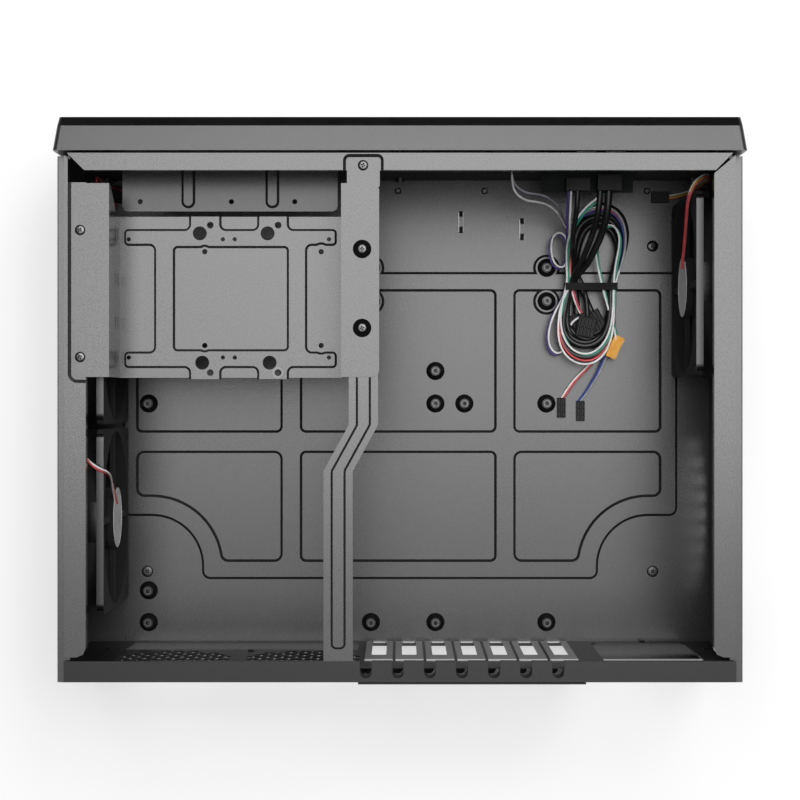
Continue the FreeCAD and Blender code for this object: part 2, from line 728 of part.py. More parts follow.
node("brace_screws", group("brace_screws", [join("brace_screw", [
    rod("head", "z", (*BRACE_SCREW, bar_top), 3.3, 1.6),
    rod("shank", "z", (*BRACE_SCREW, bar_top - 8), 1.55, 8.5)])]))

# Drive tray
TRAY_TABS = ((-138.8, -117.4), (-94, -73))
tray_t = d("tray_sheet")
tray = body("tray_body")
tray_low = d("tray_floor") - tray_t
tray_lid = rail_top - tray_t
tray_front = 122
add(tray, "xz", (d("flange_rear"), d("flange_front")), lambda s: polygon(s, [
    (d("flange_left"), rail_top), (d("tray_left"), rail_top), (d("tray_left"), d("tray_floor")),
    (d("tray_right"), d("tray_floor")), (d("tray_right"), rail_top), (d("flange_right"), rail_top),
    (d("flange_right"), tray_lid), (d("tray_right") + tray_t, tray_lid), (d("tray_right") + tray_t, tray_low),
    (d("tray_left") - tray_t, tray_low), (d("tray_left") - tray_t, tray_lid), (d("flange_left"), tray_lid)]))
cut(tray, "xy", (tray_low - 0.5, d("tray_floor") + 0.5), lambda s: rectangle(
    s, (d("tray_left"), d("tray_right")), (tray_front, d("flange_front") + 1)))
cut(tray, "yz", (d("tray_left") - tray_t - 1, d("tray_right") + tray_t + 1), lambda s: polygon(s, [
    (tray_front, tray_low - 1), (d("flange_front") + 1, tray_low - 1), (d("flange_front") + 1, tray_lid - 4),
    (d("flange_front"), tray_lid - 4), (tray_front, tray_low + 18)]))
plate_rear = d("flange_rear") - 0.9
for span in TRAY_TABS:
    add(tray, "xy", (tray_low, d("tray_floor")), lambda s: rectangle(
        s, span, (plate_rear, d("flange_rear") + 1)))
MOUNT_25 = [(-90.15 + sx * 38.3, 68.2 + sy * 30.86) for sx in (-1, 1) for sy in (-1, 1)]
PANEL = ((-149.4, -73), (33.4, 102.8))
spine_top = d("tray_floor") + d("tray_emboss")
bars = [flat((-181.5, -41.5), (102.8, 114)), flat((-181.5, -41.5), (22.4, 33.4))]
bars += [flat((-161.8, -61), (23, 113))]
for span in TRAY_TABS:
    bars += [flat(span, (104, 130)), flat(span, (5, 30))]
spine = soft_face(union(bars, [disc(x, y, 4.6) for x, y in MOUNT_25[2:]]), 3, 3)
panel = soft_face(union([flat(*PANEL)] + [disc(x, y, 4.6) for x, y in MOUNT_25[:2]]), 3.2, 1.5)
add(tray, "xy", (d("tray_floor"), spine_top), lambda s: outline(s, spine), -45)
cut(tray, "xy", (d("tray_floor"), spine_top), lambda s: outline(s, panel), -45)
for span in ((tray_front, 135), (0, plate_rear)):
    cut(tray, "xy", (d("tray_floor"), spine_top), lambda s: rectangle(
        s, (TRAY_TABS[0][0] - 5, TRAY_TABS[1][1] + 5), span))


def draw_tray_holes(sketch):
    for x, y in MOUNT_25:
        circle(sketch, x, y, SCREW_HOLE)
    for x, y in ((-124.7, 116.4), (-80.1, 116.4), (-124.7, 19.4), DRIVE_RING):
        circle(sketch, x, y, 2.2)
    for x, y in ((-131.6, 111), (-87, 111), (-130, 26), (-85.7, 26)):
        circle(sketch, x, y, 4.6)
    for x in (-178.3, -116.4, -108.6, -46.7):
        for y in (107.1, 29.4):
            circle(sketch, x, y, 1.4)


cut(tray, "xy", (tray_low - 0.1, spine_top + 0.1), draw_tray_holes)


def draw_flange_holes(sketch):
    for y in TRAY_SCREW_Y:
        circle(sketch, TRAY_SCREW_X, y, SCREW_HOLE)
    for y in GROMMET_Y:
        circle(sketch, GROMMET_X, y, 5.9)


cut(tray, "xy", (tray_lid, rail_top), draw_flange_holes)


def draw_wall_slots(sketch):
    for y in (30, 52, 80, 110):
        rounded(sketch, (y - 4, y + 4), (126, 129.4), 1.6)
        rounded(sketch, (y - 4, y + 4), (138, 141.4), 1.6)


cut(tray, "yz", (d("tray_left") - tray_t, d("tray_left")), draw_wall_slots)
cut(tray, "yz", (d("tray_right"), d("tray_right") + tray_t), draw_wall_slots)
for corner in (
        ((d("flange_left"), d("flange_front")), (1, -1)),
        ((d("flange_left"), d("flange_rear")), (1, 1)),
        ((d("flange_right"), d("flange_front")), (-1, -1)),
        ((d("flange_right"), d("flange_rear")), (-1, 1))):
    (cx, cy), (sx, sy) = corner
    cut(tray, "xy", (tray_lid, rail_top), lambda s: polygon(s, [
        (cx - sx, cy - sy), (cx + 4 * sx, cy - sy), (cx + 4 * sx, cy), (cx + 1.2 * sx, cy + 1.2 * sy),
        (cx, cy + 4 * sy), (cx - sx, cy + 4 * sy)]))
node("drive_tray", tray)

tray_screws = []
for x, y, low in [(TRAY_SCREW_X, y, rail_top) for y in TRAY_SCREW_Y] + [
        (GROMMET_X, y, rail_top + 0.2) for y in GROMMET_Y]:
    tray_screws.append(join("tray_screw", [
        rod("head", "z", (x, y, low), 3.3, 1.5), rod("shank", "z", (x, y, low - 8), 1.55, 8.5)]))
node("tray_screws", group("tray_screws", tray_screws))
grommets = []
for y in GROMMET_Y:
    grommets.append(carve("grommet", rod("ring", "z", (GROMMET_X, y, bar_top), 5.85, tray_t + 0.2), [
        rod("eye", "z", (GROMMET_X, y, bar_top - 1), SCREW_HOLE, 4)]))
grommets.append(carve("drive_ring", rod("ring", "z", (*DRIVE_RING, spine_top), 3.9, 1.6), [
    rod("eye", "z", (*DRIVE_RING, d("tray_floor")), 2.3, 4)]))
node("tray_grommets", group("tray_grommets", grommets))

# Bay shelf behind the bay opening
shelf = body("shelf_body")
shelf_top = 116.5
add(shelf, "xy", (shelf_top - sheet, shelf_top), lambda s: rounded(
    s, (-182.7, -41), (125.6, wall_front_in + 5), 4))
cut(shelf, "xy", (shelf_top - 2 * sheet, shelf_top + sheet), lambda s: rectangle(
    s, (-190, -30), (wall_front_in, wall_front_in + 10)))
add(shelf, "xz", (wall_front_in - sheet, wall_front_in), lambda s: rectangle(
    s, (-182.7, -41), (shelf_top - 14, shelf_top - 0.5)))
cut(shelf, "xy", (shelf_top - sheet, shelf_top), lambda s: [
    circle(s, x, 132, 1.7) for x in (-171, -111, -69.3)])
add(shelf, "xy", (shelf_top, shelf_top + 1.4 * sheet), lambda s: [
    rounded(s, (x - 4.6, x + 4.6), (127.6, 155), 4.5) for x in (-139.3, -84)], -50)
node("bay_shelf", shelf)

# Bezel and front plate: one tapering block, hollow behind
BUTTONS = ((70, 100, 7), (88, 100, 3.2))
LAMPS = ((70, 114), (88, 114))
USB_X = (126, 146)
JACK_X = (103, 114)
JACK_Z = 79
IO_TOP = 75.6


def taper_section(owner, level, draft, fall):
    sketch = sketch_at(owner, "xz", level)
    rounded(sketch, (-(half - draft), half - draft), (d("bezel_bottom") + draft, d("case_height") - fall), 3)
    return sketch


def taper_block(label, span, drafts, fall):
    owner = body(label)
    loft = owner.newObject("PartDesign::AdditiveLoft", "Loft")
    loft.Profile = taper_section(owner, span[0], drafts[0], drafts[0])
    loft.Sections = [taper_section(owner, span[1], drafts[1], fall)]
    loft.Ruled = True
    return owner


def draw_front_openings(sketch):
    rectangle(sketch, (d("bay_left"), d("bay_right")), (d("bay_bottom"), d("bay_top")))
    for x, z, radius in BUTTONS:
        circle(sketch, x, z, radius + 0.4)
    for x, z in LAMPS:
        circle(sketch, x, z, 1.5)
    for x in USB_X:
        rectangle(sketch, (x - 6.8, x + 6.8), (IO_TOP, IO_TOP + 6))
    for x in JACK_X:
        circle(sketch, x, JACK_Z, 3.2)


middle = d("bezel_draft") * (d("bezel_front") - d("bezel_back")) / (d("front_face") - d("bezel_back"))
skin = d("bezel_front") - 2.8
bezel = taper_block("bezel_body", (d("bezel_back"), d("bezel_front")), (0, middle), middle)
cut(bezel, "xz", (d("bezel_back"), skin), lambda s: rectangle(s, (-half + 6, half - 6), (14, 164)))
cut(bezel, "xz", (skin, d("bezel_front")), draw_front_openings)
for x, z in PEGS:
    add(bezel, "xz", (wall_front_in - 3, skin), lambda s: circle(s, x, z, 3))
for x in (60, 98):
    add(bezel, "xz", (skin - 8.9, skin), lambda s: circle(s, x, 92, 2.4))
node("front_bezel", bezel)

plate = taper_block(
    "plate_body", (d("bezel_front"), d("front_face")), (middle, d("bezel_draft")), d("plate_bevel"))
cut(plate, "xz", (d("bezel_front"), d("front_face")), draw_front_openings)
PIVOT = (178.6, 121.8)
node("front_plate", carve("front_plate", plate, [
    rod("socket", "x", (d("bay_left") - 3.4, PIVOT[0], PIVOT[1]), 1.56, 3.5),
    rod("socket", "-x", (d("bay_right") + 3.4, PIVOT[0], PIVOT[1]), 1.56, 3.5)]))

# Bay door on its two pivots
flap = box("flap", (d("bay_left") + 0.6, d("bay_right") - 0.6), (175.7, d("front_face") - 0.4),
           (d("bay_bottom") + 1.5, d("bay_top") - 0.7))
node("bay_door", join("bay_door", [
    flap, rod("pivot", "x", (d("bay_left") - 3, PIVOT[0], PIVOT[1]), 1.5, 5),
    rod("pivot", "-x", (d("bay_right") + 3, PIVOT[0], PIVOT[1]), 1.5, 5)]))

# Buttons and lamps
for name, (x, z, radius) in zip(("power_button", "reset_button"), BUTTONS):
    button = body(name + "_body")
    add(button, "xz", (skin - 0.8, d("front_face") - 0.2), lambda s: circle(s, x, z, radius))
    add(button, "xz", (skin - 2.6, skin - 0.8), lambda s: circle(s, x, z, radius + 1.6))
    add(button, "xz", (skin - 5.4, skin - 2.6), lambda s: circle(s, x, z, 1.6))
    node(name, button)
lamps = []
for x, z in LAMPS:
    lamps.append(join("lamp", [rod("lens", "y", (x, skin - 3, z), 1.5, d("front_face") - skin + 2.8),
                               rod("flange", "y", (x, skin - 3, z), 2.2, 3)]))
node("status_lamps", group("status_lamps", lamps))

# Front connection board and switch board
node("io_board", box("io_board", (96, 158), (142, skin), (IO_TOP - 1.6, IO_TOP)))
sockets = []
for x in USB_X:
    case = box("shell", (x - 6.6, x + 6.6), (163, d("front_face") - 0.6), (IO_TOP, IO_TOP + 5.8))
    shell = carve("usb_shell", case, [
        box("mouth", (x - 6.1, x + 6.1), (165, d("front_face")), (IO_TOP + 0.5, IO_TOP + 5.3))])
    tongue = box("tongue", (x - 5, x + 5), (164, 179), (IO_TOP + 3.4, IO_TOP + 4.8))
    sockets.append(join("usb_socket", [shell, tongue]))
node("usb_sockets", group("usb_sockets", sockets))
jacks = []
for x in JACK_X:
    jack = join("jack_body", [box("block", (x - 4, x + 4), (160, skin - 0.2), (IO_TOP, IO_TOP + 6.8)),
                              rod("nose", "y", (x, 166, JACK_Z), 3.1, d("front_face") - 166.5)])
    jacks.append(carve("jack", jack, [rod("bore", "y", (x, 168, JACK_Z), 1.8, 20)]))
node("audio_jacks", group("audio_jacks", jacks))
node("io_headers", group("io_headers", [
    box("usb_header", (133, 149), (142.6, 153), (IO_TOP, 88)),
    box("audio_header", (112, 128), (142.6, 151), (IO_TOP, 86))]))
board_y = skin - 8.9
node("switch_board", box("switch_board", (56.5, 101.5), (board_y - 1.6, board_y), (88, 112)))
node("switch_header", box("switch_header", (69, 81), (board_y - 9, board_y - 1.6), (90, 97)))

# Motherboard standoffs
STANDOFFS = [(-178.1, -156), (-178.1, -133.5), (-178.1, -1.06), (-20.6, -156), (25.1, -156), (25.1, -1.06),
             (25.1, 22), (45.6, -1.06), (103.8, -156), (103.8, -1.06)]
RAISED = list(BUMPS) + [(-178.1, 71.33)]
posts = []
for x, y in STANDOFFS + RAISED:
    foot = floor_top + d("emboss") if (x, y) in BUMPS else floor_top
    post = join("post_solid", [
        cone("base", "z", (x, y, foot), d("standoff_base"), 3.4, d("standoff_top") - 1.6 - foot),
        rod("tip", "z", (x, y, d("standoff_top") - 1.7), 2.5, 1.7)])
    posts.append(carve("post", post, [rod("thread", "z", (x, y, foot + 0.8), 1.5, 10)]))
node("board_standoffs", group("board_standoffs", posts))

# Rivets on floor and walls
rivets = []
for x, y in ((-1.4, 149.6), (60, 149.6), (-120, 149.6), (175, 149.6)):
    rivets.append(cone("rivet", "z", (x, y, floor_top), 2.4, 1.4, 1.1))
for x, z in ((-101.4, 70), (171, 18.5), (210, 60), (-200, 60)):
    rivets.append(cone("rivet", "y", (x, rear_in, z), 2.4, 1.4, 1.1))
node("rivets", group("rivets", rivets))

# Feet
pads = []
foot_screws = []
count = 0
for x in (-d("foot_x"), d("foot_x")):
    for y in (d("foot_rear"), d("foot_front")):
        count += 1
        puck = join("puck", [
            cone("skirt", "z", (x, y, 1.5), d("foot_radius") - 2, d("foot_radius"), 3),
            rod("drum", "z", (x, y, 4.5), d("foot_radius"), d("floor_under") - 4.5)])
        node("foot_%d" % count, carve("foot_%d" % count, puck, [
            rod("recess", "z", (x, y, 0), 14, 4), rod("bolt", "z", (x, y, 3), 1.9, 10)]))
        pads.append(rod("pad", "z", (x, y, 0), 13.9, 4))
        foot_screws.append(join("foot_screw", [
            rod("head", "z", (x, y, floor_top), 4, 1.6), rod("shank", "z", (x, y, 5), 1.8, floor_top - 4.5)]))
node("foot_pads", group("foot_pads", pads))
node("foot_screws", group("foot_screws", foot_screws))


# Fans: filter, frame and rotor, drawn with their axis along Z and turned into place
def placed(name, feature, side, y, x):
    holder = doc.addObject("Part::Compound", name + "_placed")
    holder.Links = [feature]
    holder.Placement.Rotation = TURN["x" if side < 0 else "-x"]
    bind(holder, "Placement.Base.x", side * x)
    bind(holder, "Placement.Base.y", y)
    bind(holder, "Placement.Base.z", d("fan_height"))
    return holder


def corner_holes(sketch, radius):
    for u in (-d("fan_hole"), d("fan_hole")):
        for v in (-d("fan_hole"), d("fan_hole")):
            circle(sketch, u, v, radius)


def fan_filter():
    owner = body("filter_body")
    side = d("fan_size") / 2
    add(owner, "xy", (0, d("filter_depth")), lambda s: rounded(s, (-side, side), (-side, side), 6))
    cut(owner, "xy", (0.6, d("filter_depth")), lambda s: circle(s, 0, 0, 56))
    cut(owner, "xy", (0, d("filter_depth")), lambda s: corner_holes(s, 3))
    return owner


def fan_frame():
    owner = body("frame_body")
    side = d("fan_size") / 2
    depth = d("fan_depth")
    add(owner, "xy", (0, depth), lambda s: rounded(s, (-side, side), (-side, side), 7))
    cut(owner, "xy", (0, depth), lambda s: circle(s, 0, 0, d("fan_bore")))
    cut(owner, "xy", (4.6, depth - 4.6), lambda s: [
        rectangle(s, (-side - 1, side + 1), (-side - 1, side + 1)), circle(s, 0, 0, side - 0.05)])
    cut(owner, "xy", (0, depth), lambda s: corner_holes(s, 2.2))
    add(owner, "xy", (depth - 4, depth - 1), lambda s: rectangle(s, (-59, 59), (-2.2, 2.2)))
    add(owner, "xy", (depth - 4, depth - 1), lambda s: rectangle(s, (-2.2, 2.2), (-59, 59)))
    add(owner, "xy", (depth - 4, depth + 0.8), lambda s: circle(s, 0, 0, 20.5))
    return owner


def fan_rotor(label):
    owner = body(label)
    add(owner, "xy", (3, d("fan_depth") - 4.4), lambda s: circle(s, 0, 0, 19.8))
    loft = owner.newObject("PartDesign::AdditiveLoft", "Blade")
    sections = []
    for radius, chord, pitch, middle_v in ((13, 21, 42, 0), (34, 30, 34, -3), (52.5, 38, 26, -6)):
        sketch = sketch_at(owner, "yz", radius)
        along = Vector(math.cos(math.radians(pitch)), math.sin(math.radians(pitch)), 0)
        across = Vector(-along.y, along.x, 0)
        centre = Vector(middle_v, 11, 0)
        points = []
        for u, v in ((-0.5, -0.9), (0.5, -0.9), (0.5, 0.9), (-0.5, 0.9)):
            spot = centre + along * (u * chord) + across * v
            points.append((spot.x, spot.y))
        polygon(sketch, points)
        sections.append(sketch)
    loft.Profile = sections[0]
    loft.Sections = sections[1:]
    loft.Ruled = False
    pattern = owner.newObject("PartDesign::PolarPattern", "Blades")
    pattern.Originals = [loft]
    pattern.Axis = (origin(owner, "Z_Axis"), [""])
    pattern.Angle = 360
    pattern.Occurrences = 7
    owner.Tip = pattern
    rim = rod("tip_circle", "z", (0, 0, 0), 56.6, d("fan_depth"))
    trim = doc.addObject("Part::Common", label + "_trim")
    trim.Base = owner
    trim.Tool = rim
    return trim


fan_screws = []
filters = []
fans = ((-1, d("fan_rear_y")), (-1, d("fan_front_y")), (1, d("fan_right_y")))
for i, (side, y) in enumerate(fans, start=1):
    outer_face = inner - d("filter_depth")
    filters.append(placed("fan_filter_%d" % i, fan_filter(), side, y, inner))
    node("fan_frame_%d" % i, placed("frame_%d" % i, fan_frame(), side, y, outer_face))
    node("fan_rotor_%d" % i, placed("rotor_%d" % i, fan_rotor("rotor_body_%d" % i), side, y, outer_face))
    for dy in (-d("fan_hole"), d("fan_hole")):
        for dz in (-d("fan_hole"), d("fan_hole")):
            spot = (side * half, y + dy, d("fan_height") + dz)
            axis = "-x" if side > 0 else "x"
            fan_screws.append(join("fan_screw", [
                cone("head", axis, spot, 3.6, 2.0, 1.6), rod("shank", axis, spot, 1.9, 7.5)]))
node("fan_filters", group("fan_filters", filters))
node("fan_screws", group("fan_screws", fan_screws))


# Leads: tubes of straight runs and tangent arcs, each arc as large as its runs allow
def route_wire(points):
    spots = [Vector(*point) for point in points]
    edges = []
    radii = []
    start = spots[0]
    for before, corner, after in zip(spots, spots[1:], spots[2:]):
        arrive = (corner - before).normalize()
        leave = (after - corner).normalize()
        turn = arrive.getAngle(leave)
        reach = 0.45 * min((corner - before).Length, (after - corner).Length)
        radius = reach / math.tan(turn / 2)
        first = corner - arrive * reach
        last = corner + leave * reach
        inward = (leave - arrive).normalize()
        centre = corner + inward * math.hypot(radius, reach)
        edges.append(Part.LineSegment(start, first).toShape())
        edges.append(Part.Arc(first, centre - inward * radius, last).toShape())
        radii.append(radius)
        start = last
    edges.append(Part.LineSegment(start, spots[-1]).toShape())
    return Part.Wire(edges), radii


def lead(name, diameter, points):
    path, radii = route_wire(points)
    radius = number(diameter) / 2
    first = Vector(*points[0])
    section = Part.Wire(Part.makeCircle(radius, first, Vector(*points[1]) - first))
    tube = path.makePipeShell([section], True, False)
    ratio = tube.Volume / (math.pi * radius ** 2 * path.Length)
    print(name, "length %.1f" % path.Length, "least radius %.1f" % min(radii), "volume ratio %.3f" % ratio)
    return node(name, loose(name, tube))


lead("usb_lead", d("usb_cord"), [
    (141, 142.6, 82), (140.6, 132.5, 81.2), (139.3, 122.5, 77.2), (137, 113.4, 69.8), (134.2, 105.8, 60.2),
    (131.8, 99.8, 50.2), (130.2, 96, 40.8), (129.6, 94.6, 32)])
lead("audio_lead", d("audio_cord"), [
    (120, 142.6, 81), (119.8, 134, 80.2), (119.2, 125.6, 76.2), (118.4, 118.4, 69), (118.6, 112.8, 59.6),
    (119.4, 109.4, 49.8), (120, 107.8, 40.8), (120.2, 107.4, 32)])
lead("switch_lead", d("switch_cord"), [
    (75, 154.6, 93.5), (75, 147.6, 93), (78.6, 141.4, 91.4), (84.8, 138, 88), (91.8, 137.8, 83.2),
    (98.2, 137.2, 76.6), (104, 135, 68.4), (108.6, 131.6, 59.4), (112, 127.8, 50), (115, 124.2, 40.8),
    (118.6, 121.2, 32)])
lead("power_tail", d("tail_cord"), [
    (119, 28, 20), (118.8, 21, 19.4), (117.8, 14.4, 17.4), (116, 8.6, 15.4), (114.4, 3, 14.6)])
lead("reset_tail", d("tail_cord"), [
    (133, 28, 20), (132.8, 20.6, 19.4), (131.6, 13.6, 17.2), (129.6, 7, 15.4), (127.8, 0.8, 14.6)])
lead("fan_lead_1", d("fan_cord"), [
    (-190.4, -68, 90), (-190.2, -60.6, 101), (-190, -54, 113), (-189.4, -48.6, 125.6), (-189.4, -45.4, 138),
    (-194, -43.2, 146.6), (-202.2, -37, 146.2), (-206.2, -25.6, 143), (-206.8, -12.8, 141.4),
    (-206, 2, 141.3), (-206.8, 18, 141.3), (-206, 34, 141.4), (-206.6, 50, 141.3), (-206, 66, 141.4),
    (-206.6, 81, 141.3), (-206.2, 95, 141.2), (-206.6, 107.6, 138.4), (-207.4, 115.4, 129.6),
    (-207.8, 119, 117.4), (-207.2, 120.2, 103.4), (-207.6, 119.6, 88.4), (-207, 120.4, 73.4),
    (-207.4, 119.8, 58.4), (-206.6, 120.2, 44.4), (-206.2, 121.8, 31.6), (-204.6, 126.2, 21.6),
    (-202.6, 133.4, 16.8), (-201, 141, 16)])
lead("fan_lead_2", d("fan_cord"), [
    (-190.4, 55.4, 89), (-190.2, 65.6, 97.6), (-190, 76, 107), (-189.4, 86.4, 117), (-189.2, 97, 126.6),
    (-190, 109, 133.2), (-193, 121, 135.6), (-196.2, 133, 133.4), (-198.6, 142.6, 126.2),
    (-200, 147.8, 114.8), (-200.4, 149.2, 101.4), (-199.8, 148.6, 86.6), (-200.4, 149.2, 71.6),
    (-199.8, 148.6, 57), (-199.2, 149, 43), (-197, 148, 30.6), (-192.6, 146, 21), (-186, 144.4, 16.8),
    (-179, 143.6, 16)])
lead("fan_lead_3", d("fan_cord"), [
    (190.4, 90.4, 86), (190.2, 101, 93.6), (190, 111.6, 102.6), (189.4, 121.6, 112.4), (189, 132, 120.4),
    (191.8, 142.8, 124.6), (199.4, 148.4, 119.8), (204.8, 149.8, 108.4), (206.6, 148.8, 94.4),
    (206, 149.4, 79.6), (206.6, 148.8, 64.6), (206, 149.2, 50), (205.4, 148.4, 36.6), (202.6, 147, 25.4),
    (197, 145.6, 18), (190, 144.8, 16)])

# Hank of spare lead: a front and a rear lobe, tied at the waist
hank = body("hank_body")
hank_span = (d("hank_under"), d("hank_top"))
add(hank, "xy", hank_span, lambda s: rectangle(s, (d("waist_left"), d("waist_right")), (60, 105)))
for span_x, span_y, radius in (((115.5, 160), (84, 139), 20), ((109.5, 149), (25, 78), 19)):
    add(hank, "xy", hank_span, lambda s: rounded(s, span_x, span_y, radius))
node("cable_hank", hank)
tie = body("tie_body")
band = d("tie_sheet")


def draw_tie(sketch):
    rectangle(sketch, (d("waist_left") - band, d("waist_right") + band),
              (d("hank_under") - band, d("hank_top") + band))
    rectangle(sketch, (d("waist_left"), d("waist_right")), (d("hank_under"), d("hank_top")))


add(tie, "xz", (d("tie_y") - 2.5, d("tie_y") + 2.5), draw_tie)
node("cable_tie", tie)
node("lead_plugs", group("lead_plugs", [
    box("power_plug", (111.4, 117.2), (-11, 3), (floor_top, floor_top + 3)),
    box("reset_plug", (124.9, 130.7), (-13.4, 0.8), (floor_top, floor_top + 3))]))
node("fan_plugs", group("fan_plugs", [
    box("fan_plug", (-204.8, -197.2), (141, 153), (floor_top, floor_top + 6)),
    box("fan_plug", (-179, -167), (139.8, 147.4), (floor_top, floor_top + 6)),
    box("fan_plug", (178, 190), (141, 148.6), (floor_top, floor_top + 6))]))

doc.recompute()

# Check every object and every node, then write the files
for item in doc.Objects:
    if "Invalid" in item.State or "Error" in item.State:
        raise RuntimeError("%s is %s" % (item.Label, item.State))
os.makedirs("parts", exist_ok=True)
for name, feature in NODES.items():
    shape = feature.Shape
    if shape.isNull() or not shape.isValid() or not shape.Solids:
        raise RuntimeError("%s has no sound shape" % name)
    shape.exportStep("parts/%s.step" % name)
print(len(NODES), "nodes")
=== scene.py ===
import math
import bpy
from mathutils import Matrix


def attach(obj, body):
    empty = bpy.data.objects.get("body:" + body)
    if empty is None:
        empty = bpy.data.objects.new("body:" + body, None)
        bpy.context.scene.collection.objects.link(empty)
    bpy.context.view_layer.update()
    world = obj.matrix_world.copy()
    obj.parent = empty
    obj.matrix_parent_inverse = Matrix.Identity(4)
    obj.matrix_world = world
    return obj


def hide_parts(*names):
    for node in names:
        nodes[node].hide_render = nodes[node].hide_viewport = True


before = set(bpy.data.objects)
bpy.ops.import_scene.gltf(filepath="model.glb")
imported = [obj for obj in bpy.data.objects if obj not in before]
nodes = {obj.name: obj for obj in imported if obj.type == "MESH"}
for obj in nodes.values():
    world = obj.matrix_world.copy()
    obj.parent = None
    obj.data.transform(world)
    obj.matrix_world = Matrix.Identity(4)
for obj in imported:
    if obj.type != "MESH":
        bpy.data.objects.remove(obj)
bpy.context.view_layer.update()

scene = bpy.context.scene
scene.view_settings.view_transform = "Standard"
bpy.ops.object.select_all(action="DESELECT")

# Camera straight above the open case
CAMERA_PLACE = (0, 0.00213, 1.46)
SENSOR_MM = 36
LENS_MM = 91.845
CAMERA_SHIFT = -0.00125
bpy.ops.object.camera_add(location=CAMERA_PLACE, rotation=(0, 0, 0))
camera = bpy.context.object
camera.name = "top_camera"
camera.data.sensor_width = SENSOR_MM
camera.data.lens = LENS_MM
camera.data.shift_y = CAMERA_SHIFT
scene.camera = camera

# Finishes: lengths in metres, noise scales per metre
NOISE_LOW, NOISE_HIGH = 0.3, 0.7
GRAIN_DEPTH = 0.0002
COAT_SPECK, COAT_SHEEN, COAT_GRAIN, COAT_RELIEF = 2200, 1700, 2500, 0.012
MOULD_CLOUD, MOULD_SHEEN = 140, 35
METAL_STREAK, METAL_GRAIN, METAL_RELIEF = 420, 600, 0.06
SPLIT_SHEEN, SPLIT_GRAIN, SPLIT_RELIEF = 300, 800, 0.1
JACKET_CLOUD, JACKET_SHEEN, JACKET_GRAIN, JACKET_RELIEF = 180, 60, 700, 0.1
COAT_BLACK = (0.024, 0.024, 0.025)
SATIN = (0.2, 0.3)
MATT_ROUGHNESS = 1
RAIL_UNDERSIDE = 0.149
FAN_TOP_EDGE = 0.1385
STANDOFF_SHOULDER = 0.01795
RING_EDGE_Y = 0.03


def new_finish(name):
    finish = bpy.data.materials.new(name)
    finish.use_nodes = True
    shader = finish.node_tree.nodes["Principled BSDF"]
    return finish, finish.node_tree, shader


def noise(tree, scale, detail, stretch=(1, 1, 1)):
    """Noise fixed to the piece, longer along an axis with a small stretch number."""
    where = tree.nodes.new("ShaderNodeTexCoord")
    mapping = tree.nodes.new("ShaderNodeMapping")
    mapping.inputs["Scale"].default_value = stretch
    grain = tree.nodes.new("ShaderNodeTexNoise")
    grain.inputs["Scale"].default_value = scale
    grain.inputs["Detail"].default_value = detail
    tree.links.new(where.outputs["Object"], mapping.inputs["Vector"])
    tree.links.new(mapping.outputs["Vector"], grain.inputs["Vector"])
    return grain.outputs["Fac"]


def ramp(tree, factor, stops):
    """Colours along a factor, as pairs of a place from 0 to 1 and a colour."""
    band = tree.nodes.new("ShaderNodeValToRGB")
    band.color_ramp.elements[0].position = stops[0][0]
    band.color_ramp.elements[0].color = (*stops[0][1], 1)
    band.color_ramp.elements[1].position = stops[-1][0]
    band.color_ramp.elements[1].color = (*stops[-1][1], 1)
    for place, colour in stops[1:-1]:
        band.color_ramp.elements.new(place).color = (*colour, 1)
    tree.links.new(factor, band.inputs["Fac"])
    return band.outputs["Color"]


def spread(tree, factor, low, high):
    """A noise factor spread over the range from low to high."""
    scale = tree.nodes.new("ShaderNodeMapRange")
    scale.inputs["From Min"].default_value = NOISE_LOW
    scale.inputs["From Max"].default_value = NOISE_HIGH
    scale.inputs["To Min"].default_value = low
    scale.inputs["To Max"].default_value = high
    tree.links.new(factor, scale.inputs["Value"])
    return scale.outputs["Result"]


def relief(tree, shader, factor, strength, depth=GRAIN_DEPTH):
    bump = tree.nodes.new("ShaderNodeBump")
    bump.inputs["Strength"].default_value = strength
    bump.inputs["Distance"].default_value = depth
    tree.links.new(factor, bump.inputs["Height"])
    tree.links.new(bump.outputs["Normal"], shader.inputs["Normal"])


def shade(colour, amount):
    return tuple(min(1, part * amount) for part in colour)


def step(tree, axis, edge):
    """1 past an edge along an axis, 0 before it."""
    where = tree.nodes.new("ShaderNodeTexCoord")
    parts = tree.nodes.new("ShaderNodeSeparateXYZ")
    past = tree.nodes.new("ShaderNodeMath")
    past.operation = "GREATER_THAN"
    past.inputs[1].default_value = edge
    tree.links.new(where.outputs["Object"], parts.inputs["Vector"])
    tree.links.new(parts.outputs[axis], past.inputs[0])
    return past.outputs["Value"]


def clouded(tree, factor, colour, dark, light):
    """A colour that drifts between its darker and lighter shares."""
    stops = [(NOISE_LOW, shade(colour, dark)), (NOISE_HIGH, shade(colour, light))]
    return ramp(tree, factor, stops)


def powder_coat(name, colour, gloss, rough=(0.34, 0.48), contrast=0.3, matt_below=None):
    """A fine-grained coat, matt below a height where one is given."""
    finish, tree, shader = new_finish(name)
    shader.inputs["Specular IOR Level"].default_value = gloss
    stops = [
        (NOISE_LOW, shade(colour, 1 - contrast)), (0.5, colour), (NOISE_HIGH, shade(colour, 1 + contrast))]
    tree.links.new(ramp(tree, noise(tree, COAT_SPECK, 2), stops), shader.inputs["Base Color"])
    coat = spread(tree, noise(tree, COAT_SHEEN, 2), *rough)
    if matt_below is not None:
        blend = tree.nodes.new("ShaderNodeMix")
        blend.inputs["A"].default_value = MATT_ROUGHNESS
        tree.links.new(step(tree, "Z", matt_below), blend.inputs["Factor"])
        tree.links.new(coat, blend.inputs["B"])
        coat = blend.outputs["Result"]
    tree.links.new(coat, shader.inputs["Roughness"])
    relief(tree, shader, noise(tree, COAT_GRAIN, 2), COAT_RELIEF)
    return finish


